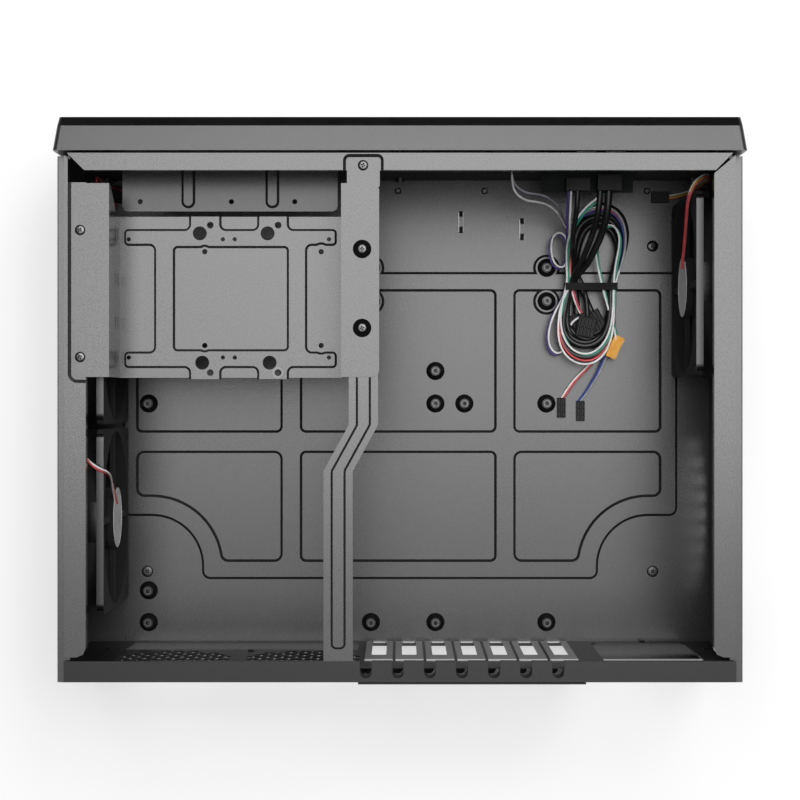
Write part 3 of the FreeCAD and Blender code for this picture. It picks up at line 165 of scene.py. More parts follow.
def moulded(name, colour, rough, grain=900, strength=0.12, gloss=0.5):
    finish, tree, shader = new_finish(name)
    shader.inputs["Specular IOR Level"].default_value = gloss
    cloud = clouded(tree, noise(tree, MOULD_CLOUD, 4), colour, 0.85, 1.15)
    tree.links.new(cloud, shader.inputs["Base Color"])
    sheen = spread(tree, noise(tree, MOULD_SHEEN, 3), rough * 0.85, rough * 1.15)
    tree.links.new(sheen, shader.inputs["Roughness"])
    relief(tree, shader, noise(tree, grain, 2), strength)
    return finish


def bare_metal(name, colour, rough, stretch=(1, 1, 1), metallic=1.0):
    finish, tree, shader = new_finish(name)
    shader.inputs["Metallic"].default_value = metallic
    streak = noise(tree, METAL_STREAK, 4, stretch)
    tree.links.new(clouded(tree, streak, colour, 0.86, 1.08), shader.inputs["Base Color"])
    tree.links.new(spread(tree, streak, rough * 0.75, rough * 1.25), shader.inputs["Roughness"])
    relief(tree, shader, noise(tree, METAL_GRAIN, 3, stretch), METAL_RELIEF)
    return finish


case_black = powder_coat("case_black_powder", COAT_BLACK, 1, SATIN)
wall_black = powder_coat("wall_black_powder", COAT_BLACK, 1, SATIN, matt_below=RAIL_UNDERSIDE)
# The floor pan has the case coat, made darker and less glossy here: painted shade from the walls round it
floor_shaded_black = powder_coat("floor_shaded_black_powder", (0.018, 0.018, 0.019), 0.84, (0.24, 0.34))
# The bay shelf has the case coat, made darker and less glossy here: painted shade under the front rail
shelf_shaded_black = powder_coat("shelf_shaded_black_powder", (0.02, 0.02, 0.021), 0.6, SATIN)
# The rear wall and slot hood have the case coat, made darker and less glossy here: painted shade at the rear
rear_shaded_black = powder_coat("rear_shaded_black_powder", (0.014, 0.014, 0.0145), 0.45)
bezel_black = powder_coat("bezel_black_powder", COAT_BLACK, 0.9, (0.28, 0.4))
front_black = moulded("front_satin_black", (0.006, 0.006, 0.006), 0.3, 700, 0.05, 0.3)
fan_black = powder_coat("fan_black_plastic", (0.004, 0.004, 0.0045), 0.7, (0.2, 0.28), 0.15, FAN_TOP_EDGE)
plug_black = moulded("plug_black_plastic", (0.006, 0.006, 0.0065), 0.5, 900, 0.12, 0.25)
soft_black = moulded("soft_black_rubber", (0.008, 0.008, 0.008), 0.72, 1400, 0.3, 0.2)
button_grey = moulded("button_grey_plastic", (0.2, 0.2, 0.205), 0.4)
lamp_clear = moulded("lamp_clear_lens", (0.62, 0.66, 0.72), 0.18)
zinc = bare_metal("slot_zinc", (0.5, 0.5, 0.51), 0.5, (1, 1, 0.08), 0.55)
bright_steel = bare_metal("screw_bright_steel", (0.14, 0.14, 0.143), 0.3)
dark_steel = bare_metal("screw_dark_steel", (0.02, 0.02, 0.021), 0.5)
screw_black = moulded("screw_black_coat", (0.004, 0.004, 0.004), 0.2, 500, 0.05)
rivet_steel = bare_metal("rivet_dull_steel", (0.1, 0.1, 0.103), 0.45)
socket_steel = bare_metal("socket_plated_steel", (0.5, 0.5, 0.51), 0.35, (1, 0.1, 1))
label_silver = moulded("fan_label_silver", (0.82, 0.82, 0.83), 0.4, 500, 0.03)


def board_finish():
    finish, tree, shader = new_finish("circuit_board_black")
    shader.inputs["Specular IOR Level"].default_value = 0.12
    where = tree.nodes.new("ShaderNodeTexCoord")
    tracks = tree.nodes.new("ShaderNodeTexBrick")
    tracks.inputs["Scale"].default_value = 160
    tracks.inputs["Mortar Size"].default_value = 0.06
    tracks.inputs["Color1"].default_value = (0.004, 0.005, 0.005, 1)
    tracks.inputs["Color2"].default_value = (0.006, 0.008, 0.007, 1)
    tracks.inputs["Mortar"].default_value = (0.014, 0.02, 0.018, 1)
    tree.links.new(where.outputs["Object"], tracks.inputs["Vector"])
    tree.links.new(tracks.outputs["Color"], shader.inputs["Base Color"])
    tree.links.new(spread(tree, noise(tree, 90, 3), 0.5, 0.7), shader.inputs["Roughness"])
    relief(tree, shader, tracks.outputs["Fac"], 0.2, 0.0001)
    return finish


def filter_finish():
    finish, tree, shader = new_finish("filter_black_mesh")
    where = tree.nodes.new("ShaderNodeTexCoord")
    weave = tree.nodes.new("ShaderNodeTexChecker")
    weave.inputs["Scale"].default_value = 900
    weave.inputs["Color1"].default_value = (0.03, 0.03, 0.03, 1)
    weave.inputs["Color2"].default_value = (0.004, 0.004, 0.004, 1)
    tree.links.new(where.outputs["Object"], weave.inputs["Vector"])
    tree.links.new(weave.outputs["Color"], shader.inputs["Base Color"])
    tree.links.new(spread(tree, noise(tree, 200, 2), 0.6, 0.8), shader.inputs["Roughness"])
    relief(tree, shader, weave.outputs["Fac"], 0.4, 0.0003)
    return finish


def split_finish(name, axis, edge, below, above, rough):
    """Two finishes on one piece, parted at a height or a depth."""
    finish, tree, shader = new_finish(name)
    past = step(tree, axis, edge)
    tree.links.new(ramp(tree, past, [(0.49, below), (0.51, above)]), shader.inputs["Base Color"])
    tree.links.new(spread(tree, noise(tree, SPLIT_SHEEN, 3), *rough), shader.inputs["Roughness"])
    relief(tree, shader, noise(tree, SPLIT_GRAIN, 2), SPLIT_RELIEF)
    return finish, tree, shader, past


circuit_black = board_finish()
filter_mesh = filter_finish()
standoff_mix, standoff_tree, standoff_shader, standoff_tip = split_finish(
    "standoff_black_and_steel", "Z", STANDOFF_SHOULDER,
    (0.006, 0.006, 0.006), (0.1, 0.1, 0.103), (0.3, 0.5))
standoff_tree.links.new(standoff_tip, standoff_shader.inputs["Metallic"])
ring_mix, _, ring_shader, _ = split_finish(
    "ring_grey_and_black", "Y", RING_EDGE_Y, (0.4, 0.4, 0.405), (0.004, 0.004, 0.004), (0.7, 0.9))
ring_shader.inputs["Specular IOR Level"].default_value = 0.05


def cable_jacket(name, colour, rough=0.42):
    finish, tree, shader = new_finish(name)
    cloud = clouded(tree, noise(tree, JACKET_CLOUD, 3), colour, 0.82, 1.12)
    tree.links.new(cloud, shader.inputs["Base Color"])
    sheen = spread(tree, noise(tree, JACKET_SHEEN, 3), rough * 0.85, rough * 1.2)
    tree.links.new(sheen, shader.inputs["Roughness"])
    relief(tree, shader, noise(tree, JACKET_GRAIN, 2), JACKET_RELIEF)
    return finish


jacket_black = cable_jacket("jacket_black", (0.008, 0.008, 0.009), 0.36)
wire_white = cable_jacket("wire_white", (0.84, 0.82, 0.82))
wire_grey = cable_jacket("wire_grey", (0.4, 0.4, 0.42))
wire_red = cable_jacket("wire_red", (0.62, 0.07, 0.08))
wire_blue = cable_jacket("wire_blue", (0.04, 0.07, 0.36))
wire_green = cable_jacket("wire_green", (0.03, 0.3, 0.2))
wire_violet = cable_jacket("wire_violet", (0.07, 0.04, 0.22))
wire_yellow = cable_jacket("wire_yellow", (0.6, 0.42, 0.06))
wire_brown = cable_jacket("wire_brown", (0.16, 0.035, 0.03))
tape_orange = moulded("tape_orange", (0.8, 0.36, 0.03), 0.5, 700, 0.2)

FINISH = {
    case_black: ["support_bar", "drive_tray"],
    shelf_shaded_black: ["bay_shelf"],
    wall_black: ["left_side_wall", "right_side_wall", "front_wall"],
    rear_shaded_black: ["rear_wall", "slot_hood"],
    floor_shaded_black: ["floor_pan"],
    bezel_black: ["front_bezel"],
    front_black: ["front_plate", "bay_door"],
    fan_black: ["fan_frame_1", "fan_frame_2", "fan_frame_3", "fan_rotor_1", "fan_rotor_2", "fan_rotor_3",
                "foot_1", "foot_2", "foot_3", "foot_4"],
    plug_black: ["audio_jacks", "io_headers", "switch_header", "lead_plugs", "fan_plugs"],
    soft_black: ["foot_pads", "cable_tie"],
    ring_mix: ["tray_grommets"],
    button_grey: ["power_button", "reset_button"],
    lamp_clear: ["status_lamps"],
    zinc: ["slot_cover_%d" % i for i in range(1, 8)],
    bright_steel: ["brace_screws", "tray_screws", "foot_screws"],
    dark_steel: ["slot_screws", "fan_screws"],
    rivet_steel: ["rivets"],
    socket_steel: ["usb_sockets"],
    circuit_black: ["io_board", "switch_board"],
    filter_mesh: ["fan_filters"],
    standoff_mix: ["board_standoffs"],
    jacket_black: ["usb_lead", "audio_lead", "switch_lead", "power_tail", "reset_tail", "fan_lead_1",
                   "fan_lead_2", "fan_lead_3", "cable_hank"],
}
for finish, names in FINISH.items():
    for name in names:
        nodes[name].data.materials.clear()
        nodes[name].data.materials.append(finish)

# Cord sizes and routes, the routes as in the CAD source
USB_CORD = 0.005
SECOND_USB_CORD = 0.0042
AUDIO_CORD = 0.0036
SWITCH_WIRE = 0.0015
FAN_WIRE = 0.0013
FAN_SLEEVE = 0.0022
STRAND_GAP = 0.0008
STRAND_STEP = 0.9
OPPOSITE = 3.1
SWITCH_ROUTE = [
    (0.075, 0.1546, 0.0935), (0.075, 0.1476, 0.093), (0.0786, 0.1414, 0.0914), (0.0848, 0.138, 0.088),
    (0.0918, 0.1378, 0.0832), (0.0982, 0.1372, 0.0766), (0.104, 0.135, 0.0684), (0.1086, 0.1316, 0.0594),
    (0.112, 0.1278, 0.05), (0.115, 0.1242, 0.0408), (0.1186, 0.1212, 0.032)]
USB_ROUTE = [
    (0.141, 0.1426, 0.082), (0.1406, 0.1325, 0.0812), (0.1393, 0.1225, 0.0772), (0.137, 0.1134, 0.0698),
    (0.1342, 0.1058, 0.0602), (0.1318, 0.0998, 0.0502), (0.1302, 0.096, 0.0408)]
AUDIO_ROUTE = [
    (0.12, 0.1426, 0.081), (0.1198, 0.134, 0.0802), (0.1192, 0.1256, 0.0762), (0.1184, 0.1184, 0.069),
    (0.1186, 0.1128, 0.0596), (0.1194, 0.1094, 0.0498), (0.12, 0.1078, 0.0408)]
FAN_ROUTE_1 = [
    (-0.1904, -0.068, 0.09), (-0.1902, -0.0606, 0.101), (-0.19, -0.054, 0.113), (-0.1894, -0.0486, 0.1256),
    (-0.1894, -0.0454, 0.138), (-0.194, -0.0432, 0.1466), (-0.2022, -0.037, 0.1462),
    (-0.2062, -0.0256, 0.143), (-0.2068, -0.0128, 0.1414), (-0.206, 0.002, 0.1413),
    (-0.2068, 0.018, 0.1413), (-0.206, 0.034, 0.1414), (-0.2066, 0.05, 0.1413), (-0.206, 0.066, 0.1414),
    (-0.2066, 0.081, 0.1413), (-0.2062, 0.095, 0.1412), (-0.2066, 0.1076, 0.1384),
    (-0.2074, 0.1154, 0.1296), (-0.2078, 0.119, 0.1174), (-0.2072, 0.1202, 0.1034),
    (-0.2076, 0.1196, 0.0884), (-0.207, 0.1204, 0.0734), (-0.2074, 0.1198, 0.0584),
    (-0.2066, 0.1202, 0.0444), (-0.2062, 0.1218, 0.0316), (-0.2046, 0.1262, 0.0216),
    (-0.2026, 0.1334, 0.0168), (-0.201, 0.141, 0.016)]
FAN_ROUTE_2 = [
    (-0.1904, 0.0554, 0.089), (-0.1902, 0.0656, 0.0976), (-0.19, 0.076, 0.107), (-0.1894, 0.0864, 0.117),
    (-0.1892, 0.097, 0.1266), (-0.19, 0.109, 0.1332), (-0.193, 0.121, 0.1356), (-0.1962, 0.133, 0.1334),
    (-0.1986, 0.1426, 0.1262), (-0.2, 0.1478, 0.1148), (-0.2004, 0.1492, 0.1014), (-0.1998, 0.1486, 0.0866),
    (-0.2004, 0.1492, 0.0716), (-0.1998, 0.1486, 0.057), (-0.1992, 0.149, 0.043), (-0.197, 0.148, 0.0306),
    (-0.1926, 0.146, 0.021), (-0.186, 0.1444, 0.0168), (-0.179, 0.1436, 0.016)]
FAN_ROUTE_3 = [
    (0.1904, 0.0904, 0.086), (0.1902, 0.101, 0.0936), (0.19, 0.1116, 0.1026), (0.1894, 0.1216, 0.1124),
    (0.189, 0.132, 0.1204), (0.1918, 0.1428, 0.1246), (0.1994, 0.1484, 0.1198), (0.2048, 0.1498, 0.1084),
    (0.2066, 0.1488, 0.0944), (0.206, 0.1494, 0.0796), (0.2066, 0.1488, 0.0646), (0.206, 0.1492, 0.05),
    (0.2054, 0.1484, 0.0366), (0.2026, 0.147, 0.0254), (0.197, 0.1456, 0.018), (0.19, 0.1448, 0.016)]

# The hank: turns through a tied waist, open in two lobes
TIE_Y = 0.081
HANK_X = 0.134
LOBE_REACH = 0.04
CABLE_TURN = [
    (0.1195, 0.084), (0.116, 0.068), (0.113, 0.0505), (0.1181, 0.0381), (0.1305, 0.033), (0.1429, 0.0381),
    (0.148, 0.0505), (0.1488, 0.0655), (0.1478, 0.081), (0.1515, 0.094), (0.1565, 0.1065), (0.158, 0.1185),
    (0.1529, 0.1309), (0.1405, 0.136), (0.1281, 0.1309), (0.123, 0.1185), (0.1222, 0.1055), (0.1212, 0.0945)]
WIRE_TURN = [
    (0.1195, 0.082), (0.113, 0.07), (0.1105, 0.056), (0.111, 0.0425), (0.1155, 0.0325), (0.1245, 0.0265),
    (0.135, 0.0265), (0.144, 0.034), (0.1488, 0.0465), (0.15, 0.062), (0.1495, 0.08), (0.1545, 0.094),
    (0.158, 0.108), (0.158, 0.122), (0.1525, 0.133), (0.143, 0.1375), (0.132, 0.1355), (0.123, 0.1285),
    (0.118, 0.117), (0.117, 0.1)]


def hank_turn(loop, size, shift, first, last):
    """One turn, opened by size and moved by shift away from the tie, that sinks from height first to last."""
    turn = []
    for i, (x, y) in enumerate(loop):
        away = min(abs(y - TIE_Y) / LOBE_REACH, 1)
        grow = 1 + (size - 1) * away
        turn.append((
            HANK_X + (x - HANK_X) * grow + shift[0] * away,
            TIE_Y + (y - TIE_Y) * grow + shift[1] * away,
            first + (last - first) * i / len(loop)))
    return turn


def beside(route, shift):
    return [(x + shift[0], y + shift[1], z + shift[2]) for x, y, z in route]


def twist(route, start):
    """A route for one strand that winds slowly round another route."""
    strand = []
    for i, (x, y, z) in enumerate(route):
        angle = start + STRAND_STEP * i
        strand.append((
            x + STRAND_GAP * math.cos(angle), y + STRAND_GAP * math.sin(angle),
            z + STRAND_GAP * math.sin(angle + 2)))
    return strand


def lay_cord(name, points, diameter, finish):
    """A round cord on a smooth curve led by its route's points."""
    curve = bpy.data.curves.new(name, "CURVE")
    curve.dimensions = "3D"
    curve.bevel_depth = diameter / 2
    curve.bevel_resolution = 3
    curve.use_fill_caps = True
    line = curve.splines.new("NURBS")
    line.points.add(len(points) - 1)
    for spot, place in zip(line.points, points):
        spot.co = (*place, 1)
    line.order_u = 3
    line.use_endpoint_u = True
    line.resolution_u = 6
    cord = bpy.data.objects.new(name, curve)
    scene.collection.objects.link(cord)
    curve.materials.append(finish)
    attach(cord, "chassis")
    return cord


# The thick leads: smaller and lower from turn to turn
usb_points = USB_ROUTE + hank_turn(CABLE_TURN, 1.06, (0, 0), 0.0278, 0.0235)
usb_points += hank_turn(CABLE_TURN, 1.05, (0.0006, -0.0004), 0.0235, 0.0192)
usb_points += [(0.1228, 0.083, 0.0194), (0.1245, 0.0725, 0.0202), (0.1245, 0.062, 0.021)]
SECOND_USB_ROUTE = [
    (0.1352, 0.1426, 0.0815), (0.1346, 0.1325, 0.0806), (0.1332, 0.1228, 0.0764), (0.131, 0.114, 0.0688),
    (0.1288, 0.1066, 0.059), (0.127, 0.1006, 0.0488), (0.1256, 0.0958, 0.0396)]
second_usb_points = SECOND_USB_ROUTE + hank_turn(CABLE_TURN, 0.9, (-0.0012, 0.0004), 0.0292, 0.0262)
second_usb_points += hank_turn(CABLE_TURN, 0.86, (0.0022, -0.0012), 0.0262, 0.0225)
second_usb_points += [(0.1262, 0.083, 0.0225), (0.1306, 0.0735, 0.0232), (0.1346, 0.064, 0.024)]
audio_points = AUDIO_ROUTE + [(0.1212, 0.101, 0.0335), (0.1228, 0.0925, 0.0292)]
audio_points += hank_turn(CABLE_TURN, 0.86, (-0.001, 0.001), 0.0272, 0.0255)
audio_points += hank_turn(CABLE_TURN, 0.81, (0.0012, 0.0012), 0.0255, 0.0235)
audio_points += hank_turn(CABLE_TURN, 0.77, (0.0002, 0.002), 0.0235, 0.0215)
audio_points += [(0.1285, 0.083, 0.0225), (0.1315, 0.0715, 0.0252), (0.1315, 0.0605, 0.0272)]
usb_cord = lay_cord("usb_cord", usb_points, USB_CORD, jacket_black)
second_usb_cord = lay_cord(
    "second_usb_cord", second_usb_points, SECOND_USB_CORD, jacket_black)
audio_cord = lay_cord("audio_cord", audio_points, AUDIO_CORD, jacket_black)

# The thin switch wires: the power pair makes one turn, the reset pair follows the right side, then both go
# out at the rear to their plugs
INTO_LEFT = [(0.1182, 0.111, 0.0325), (0.1176, 0.098, 0.0325)]
OVER_TOP = [(0.117, 0.1236, 0.0346), (0.1212, 0.1262, 0.0326), (0.1272, 0.1318, 0.0322)]
POWER_END = [
    (0.119, 0.084, 0.0285), (0.123, 0.069, 0.0262), (0.1305, 0.0565, 0.0205), (0.1375, 0.046, 0.0192),
    (0.1395, 0.035, 0.019), (0.134, 0.0265, 0.0184), (0.1265, 0.0195, 0.0174), (0.1198, 0.0118, 0.016),
    (0.1144, 0.003, 0.0146)]
RESET_END = [
    (0.151, 0.084, 0.029), (0.1512, 0.07, 0.028), (0.151, 0.0565, 0.0262), (0.1492, 0.0445, 0.0242),
    (0.146, 0.0335, 0.0222), (0.1418, 0.0228, 0.02), (0.1372, 0.0145, 0.0178), (0.1325, 0.007, 0.016),
    (0.1278, 0.0008, 0.0146)]
power_white = lay_cord(
    "power_white_wire",
    beside(SWITCH_ROUTE, (0, -0.0026, 0)) + INTO_LEFT
    + hank_turn(WIRE_TURN, 1, (0, 0), 0.0312, 0.0302) + POWER_END,
    SWITCH_WIRE, wire_white)
power_red = lay_cord(
    "power_red_wire",
    beside(SWITCH_ROUTE, (0, -0.0024, -0.0018)) + beside(INTO_LEFT, (0.0016, 0, -0.0008))
    + hank_turn(WIRE_TURN, 0.965, (0.0006, 0.0006), 0.0298, 0.0292)
    + beside(POWER_END, (0.0014, -0.0006, 0.0004)),
    SWITCH_WIRE, wire_red)
RIGHT_SIDE = WIRE_TURN[15:10:-1]
reset_white = lay_cord(
    "reset_white_wire",
    beside(SWITCH_ROUTE[:-1], (-0.0003, 0.0026, 0.0004)) + OVER_TOP
    + hank_turn(RIGHT_SIDE, 1, (0, 0), 0.0312, 0.0312) + RESET_END,
    SWITCH_WIRE, wire_grey)
reset_blue = lay_cord(
    "reset_blue_wire",
    beside(SWITCH_ROUTE[:-1], (-0.0003, 0.0025, -0.0014)) + beside(OVER_TOP, (0.0008, -0.0014, -0.0012))
    + hank_turn(RIGHT_SIDE, 0.96, (0, 0), 0.0296, 0.0296) + beside(RESET_END, (-0.0015, -0.0004, 0.0002)),
    SWITCH_WIRE, wire_blue)

# Lamp wires from the socket board, round the lower lobe, up into a loop and down to the tape
LAMP_ROUTE = [
    (0.136, 0.1426, 0.08), (0.1346, 0.139, 0.0804), (0.1296, 0.135, 0.0802), (0.1242, 0.1304, 0.0784),
    (0.12, 0.1244, 0.0744), (0.1172, 0.1186, 0.067), (0.1158, 0.113, 0.0576), (0.1154, 0.1076, 0.0476),
    (0.1158, 0.101, 0.0394), (0.1164, 0.093, 0.034), (0.117, 0.084, 0.0318)]
LAMP_TURN = [
    (0.1135, 0.07, 0.0316), (0.112, 0.057, 0.0312), (0.1145, 0.044, 0.0312), (0.122, 0.035, 0.0312),
    (0.1325, 0.033, 0.0312), (0.142, 0.0395, 0.0312), (0.1475, 0.051, 0.0314), (0.1492, 0.066, 0.0316),
    (0.1494, 0.082, 0.0318), (0.1506, 0.096, 0.0324), (0.1532, 0.108, 0.033), (0.1534, 0.118, 0.033),
    (0.1486, 0.1244, 0.0328), (0.1416, 0.123, 0.032), (0.1375, 0.1145, 0.031), (0.137, 0.102, 0.0305),
    (0.14, 0.088, 0.03), (0.144, 0.072, 0.0295), (0.1484, 0.058, 0.0285), (0.1512, 0.048, 0.0275),
    (0.152, 0.04, 0.0268)]
lamp_white = lay_cord("lamp_white_wire", LAMP_ROUTE + LAMP_TURN, SWITCH_WIRE, wire_white)
lamp_green = lay_cord(
    "lamp_green_wire",
    beside(LAMP_ROUTE, (0.0014, -0.0012, -0.0006)) + beside(LAMP_TURN, (0.0014, -0.001, -0.0014)),
    SWITCH_WIRE, wire_green)

# Disk lamp wires beside the sound lead, with a small loop above the tie and one below
DISK_ROUTE = [
    (0.114, 0.1426, 0.079), (0.1138, 0.136, 0.0775), (0.1138, 0.129, 0.0735), (0.114, 0.122, 0.0675),
    (0.1146, 0.1155, 0.059), (0.1152, 0.1095, 0.0495), (0.1156, 0.1035, 0.0405), (0.115, 0.097, 0.0345)]
DISK_LOOPS = [
    (0.1122, 0.0925, 0.0318), (0.1078, 0.0945, 0.0298), (0.1052, 0.1005, 0.0286), (0.1046, 0.1075, 0.028),
    (0.1056, 0.1142, 0.028), (0.1096, 0.118, 0.028), (0.1142, 0.1162, 0.0282), (0.1164, 0.1095, 0.0284),
    (0.1172, 0.0985, 0.0282), (0.1176, 0.0855, 0.0278), (0.1142, 0.0735, 0.027), (0.1085, 0.064, 0.0258),
    (0.1042, 0.0535, 0.0246), (0.1028, 0.0432, 0.0236), (0.1048, 0.0362, 0.0228), (0.1092, 0.0326, 0.0225),
    (0.1138, 0.0346, 0.0226), (0.1162, 0.0412, 0.0229), (0.1172, 0.0492, 0.0235), (0.1202, 0.0562, 0.0245),
    (0.1262, 0.0592, 0.0255)]
disk_violet = lay_cord("disk_violet_wire", DISK_ROUTE + DISK_LOOPS, SWITCH_WIRE, wire_violet)
disk_white = lay_cord(
    "disk_white_wire",
    beside(DISK_ROUTE, (0.0018, 0.0006, 0.0008)) + beside(DISK_LOOPS, (0.0012, 0.0012, 0.0014)),
    SWITCH_WIRE, wire_white)

# Fan leads: two pairs wound round each other, and a red sleeve with two wires beside it
rear_fan_red = lay_cord("rear_fan_red_wire", twist(FAN_ROUTE_1, 0), FAN_WIRE, wire_red)
rear_fan_white = lay_cord("rear_fan_white_wire", twist(FAN_ROUTE_1, OPPOSITE), FAN_WIRE, wire_white)
front_fan_red = lay_cord("front_fan_red_wire", twist(FAN_ROUTE_2, 0), FAN_WIRE, wire_red)
front_fan_brown = lay_cord("front_fan_brown_wire", twist(FAN_ROUTE_2, OPPOSITE), FAN_WIRE, wire_brown)
FAN_RISE, FAN_DROP = FAN_ROUTE_3[:5], FAN_ROUTE_3[5:]
right_fan_red = lay_cord(
    "right_fan_red_wire",
    beside(FAN_RISE, (-0.0004, -0.0004, 0.0014)) + beside(FAN_DROP, (0.0006, -0.0006, -0.0012)),
    FAN_SLEEVE, wire_red)
right_fan_yellow = lay_cord(
    "right_fan_yellow_wire",
    beside(FAN_RISE, (0.0002, 0.0004, -0.0008)) + beside(FAN_DROP, (-0.0006, -0.0008, 0.0008)),
    FAN_WIRE, wire_yellow)
right_fan_white = lay_cord(
    "right_fan_white_wire",
    beside(FAN_RISE, (-0.0006, 0.0002, -0.0008)) + beside(FAN_DROP, (-0.0004, 0.001, 0.0008)),
    FAN_WIRE, wire_white)


# Screws with a domed head and a cross recess
ARM_WIDTH = 0.0014
ARM_REACH = 0.0014
TIP_SHARE = 0.2
TIP_DROP = 0.0004
HEAD_SIDES = 40
HEAD_RIM = 0.45
HEAD_DOME = ((0.93, 0.25), (0.82, 0.18), (0.6, 0.12))
SHANK_LENGTH = 0.008
CASE_SCREW = 0.0033
FOOT_SCREW, FOOT_SHANK = 0.004, 0.0018
SMOOTH_ANGLE = math.radians(35)


def cross_cutter():
    """The tapered tip of a cross driver, its thick end round the origin."""
    bpy.ops.object.select_all(action="DESELECT")
    bpy.ops.mesh.primitive_cube_add(size=ARM_WIDTH)
    cutter = bpy.context.object
    for face in cutter.data.polygons:
        face.select = abs(face.normal.z) < 0.5
    bpy.ops.object.mode_set(mode="EDIT")
    bpy.ops.mesh.extrude_faces_move(TRANSFORM_OT_shrink_fatten={"value": ARM_REACH})
    bpy.ops.mesh.select_mode(type="VERT")
    bpy.ops.mesh.select_all(action="DESELECT")
    bpy.ops.object.mode_set(mode="OBJECT")
    for vertex in cutter.data.vertices:
        vertex.select = vertex.co.z < 0
    bpy.ops.object.mode_set(mode="EDIT")
    bpy.ops.transform.resize(value=(TIP_SHARE, TIP_SHARE, 1), center_override=(0, 0, 0))
    bpy.ops.transform.translate(value=(0, 0, -TIP_DROP))
    bpy.ops.mesh.select_mode(type="FACE")
    bpy.ops.object.mode_set(mode="OBJECT")
    return cutter


def cross_screw(name, place, radius, height, shank):
    """A pan head that stands height above place, with its shank below."""
    bpy.ops.object.select_all(action="DESELECT")
    bpy.ops.mesh.primitive_circle_add(
        vertices=HEAD_SIDES, radius=shank, fill_type="NGON", location=(0, 0, -SHANK_LENGTH))
    screw = bpy.context.object
    screw.name = name
    bpy.ops.object.mode_set(mode="EDIT")
    bpy.ops.mesh.select_all(action="SELECT")
    bpy.ops.mesh.extrude_region_move(TRANSFORM_OT_translate={"value": (0, 0, SHANK_LENGTH)})
    bpy.ops.mesh.extrude_region_move(TRANSFORM_OT_translate={"value": (0, 0, 0)})
    bpy.ops.transform.resize(value=(radius / shank, radius / shank, 1), center_override=(0, 0, 0))
    bpy.ops.mesh.extrude_region_move(TRANSFORM_OT_translate={"value": (0, 0, height * HEAD_RIM)})
    for share, rise in HEAD_DOME:
        bpy.ops.mesh.extrude_region_move(TRANSFORM_OT_translate={"value": (0, 0, height * rise)})
        bpy.ops.transform.resize(value=(share, share, 1), center_override=(0, 0, 0))
    bpy.ops.mesh.select_all(action="SELECT")
    bpy.ops.mesh.remove_doubles(threshold=0.000001)
    bpy.ops.mesh.normals_make_consistent(inside=False)
    bpy.ops.object.mode_set(mode="OBJECT")
    bpy.ops.object.transform_apply(location=True, rotation=True, scale=True)
    cutter = cross_cutter()
    cutter.location.z = height
    recess = screw.modifiers.new("recess", "BOOLEAN")
    recess.object = cutter
    recess.operation = "DIFFERENCE"
    bpy.ops.object.select_all(action="DESELECT")
    screw.select_set(True)
    bpy.context.view_layer.objects.active = screw
    bpy.ops.object.modifier_apply(modifier="recess")
    bpy.data.objects.remove(cutter)
    bpy.ops.object.shade_smooth_by_angle(angle=SMOOTH_ANGLE)
    screw.location = place
    # each cross stands at its own angle
    screw.rotation_euler = (0, 0, place[0] * 40 + place[1] * 25)
    bpy.ops.object.transform_apply(location=True, rotation=True, scale=True)
    return screw


def screw_set(name, places, radius, height, finish, shank=0.00155):
    """Screws joined to one piece."""
    screws = [cross_screw(name, place, radius, height, shank) for place in places]
    bpy.ops.object.select_all(action="DESELECT")
    for screw in screws:
        screw.select_set(True)
    bpy.context.view_layer.objects.active = screws[0]
    if len(screws) > 1:
        bpy.ops.object.join()
    whole = bpy.context.object
    whole.data.materials.append(finish)
    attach(whole, "chassis")
    return whole


tray_heads = screw_set(
    "tray_screw_heads",
    [(-0.2025, 0.1091, 0.168), (-0.2025, 0.0287, 0.168), (-0.024, 0.0971, 0.1682), (-0.024, 0.0471, 0.1682)],
    CASE_SCREW, 0.0015, bright_steel)
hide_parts("tray_screws")
brace_head = screw_set("brace_screw_head", [(-0.0234, 0.1502, 0.1668)], CASE_SCREW, 0.0016, bright_steel)
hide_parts("brace_screws")
foot_heads = screw_set(
    "rear_foot_screw_heads", [(-0.179, -0.12, 0.013), (0.179, -0.12, 0.013)],
    FOOT_SCREW, 0.0016, rivet_steel, FOOT_SHANK)
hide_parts("foot_screws")
screw_set(
    "front_foot_screw_heads", [(-0.179, 0.1105, 0.013), (0.179, 0.1105, 0.013)],
    FOOT_SCREW, 0.0016, screw_black, FOOT_SHANK)


# Wire plugs: a black housing with a window over each contact
WINDOW_RIM = 0.0005
WINDOW_DEPTH = 0.3
PLUG_ROUNDING = 0.0002
USB_PLUG = (0.0126, 0.0142, 0.0052)


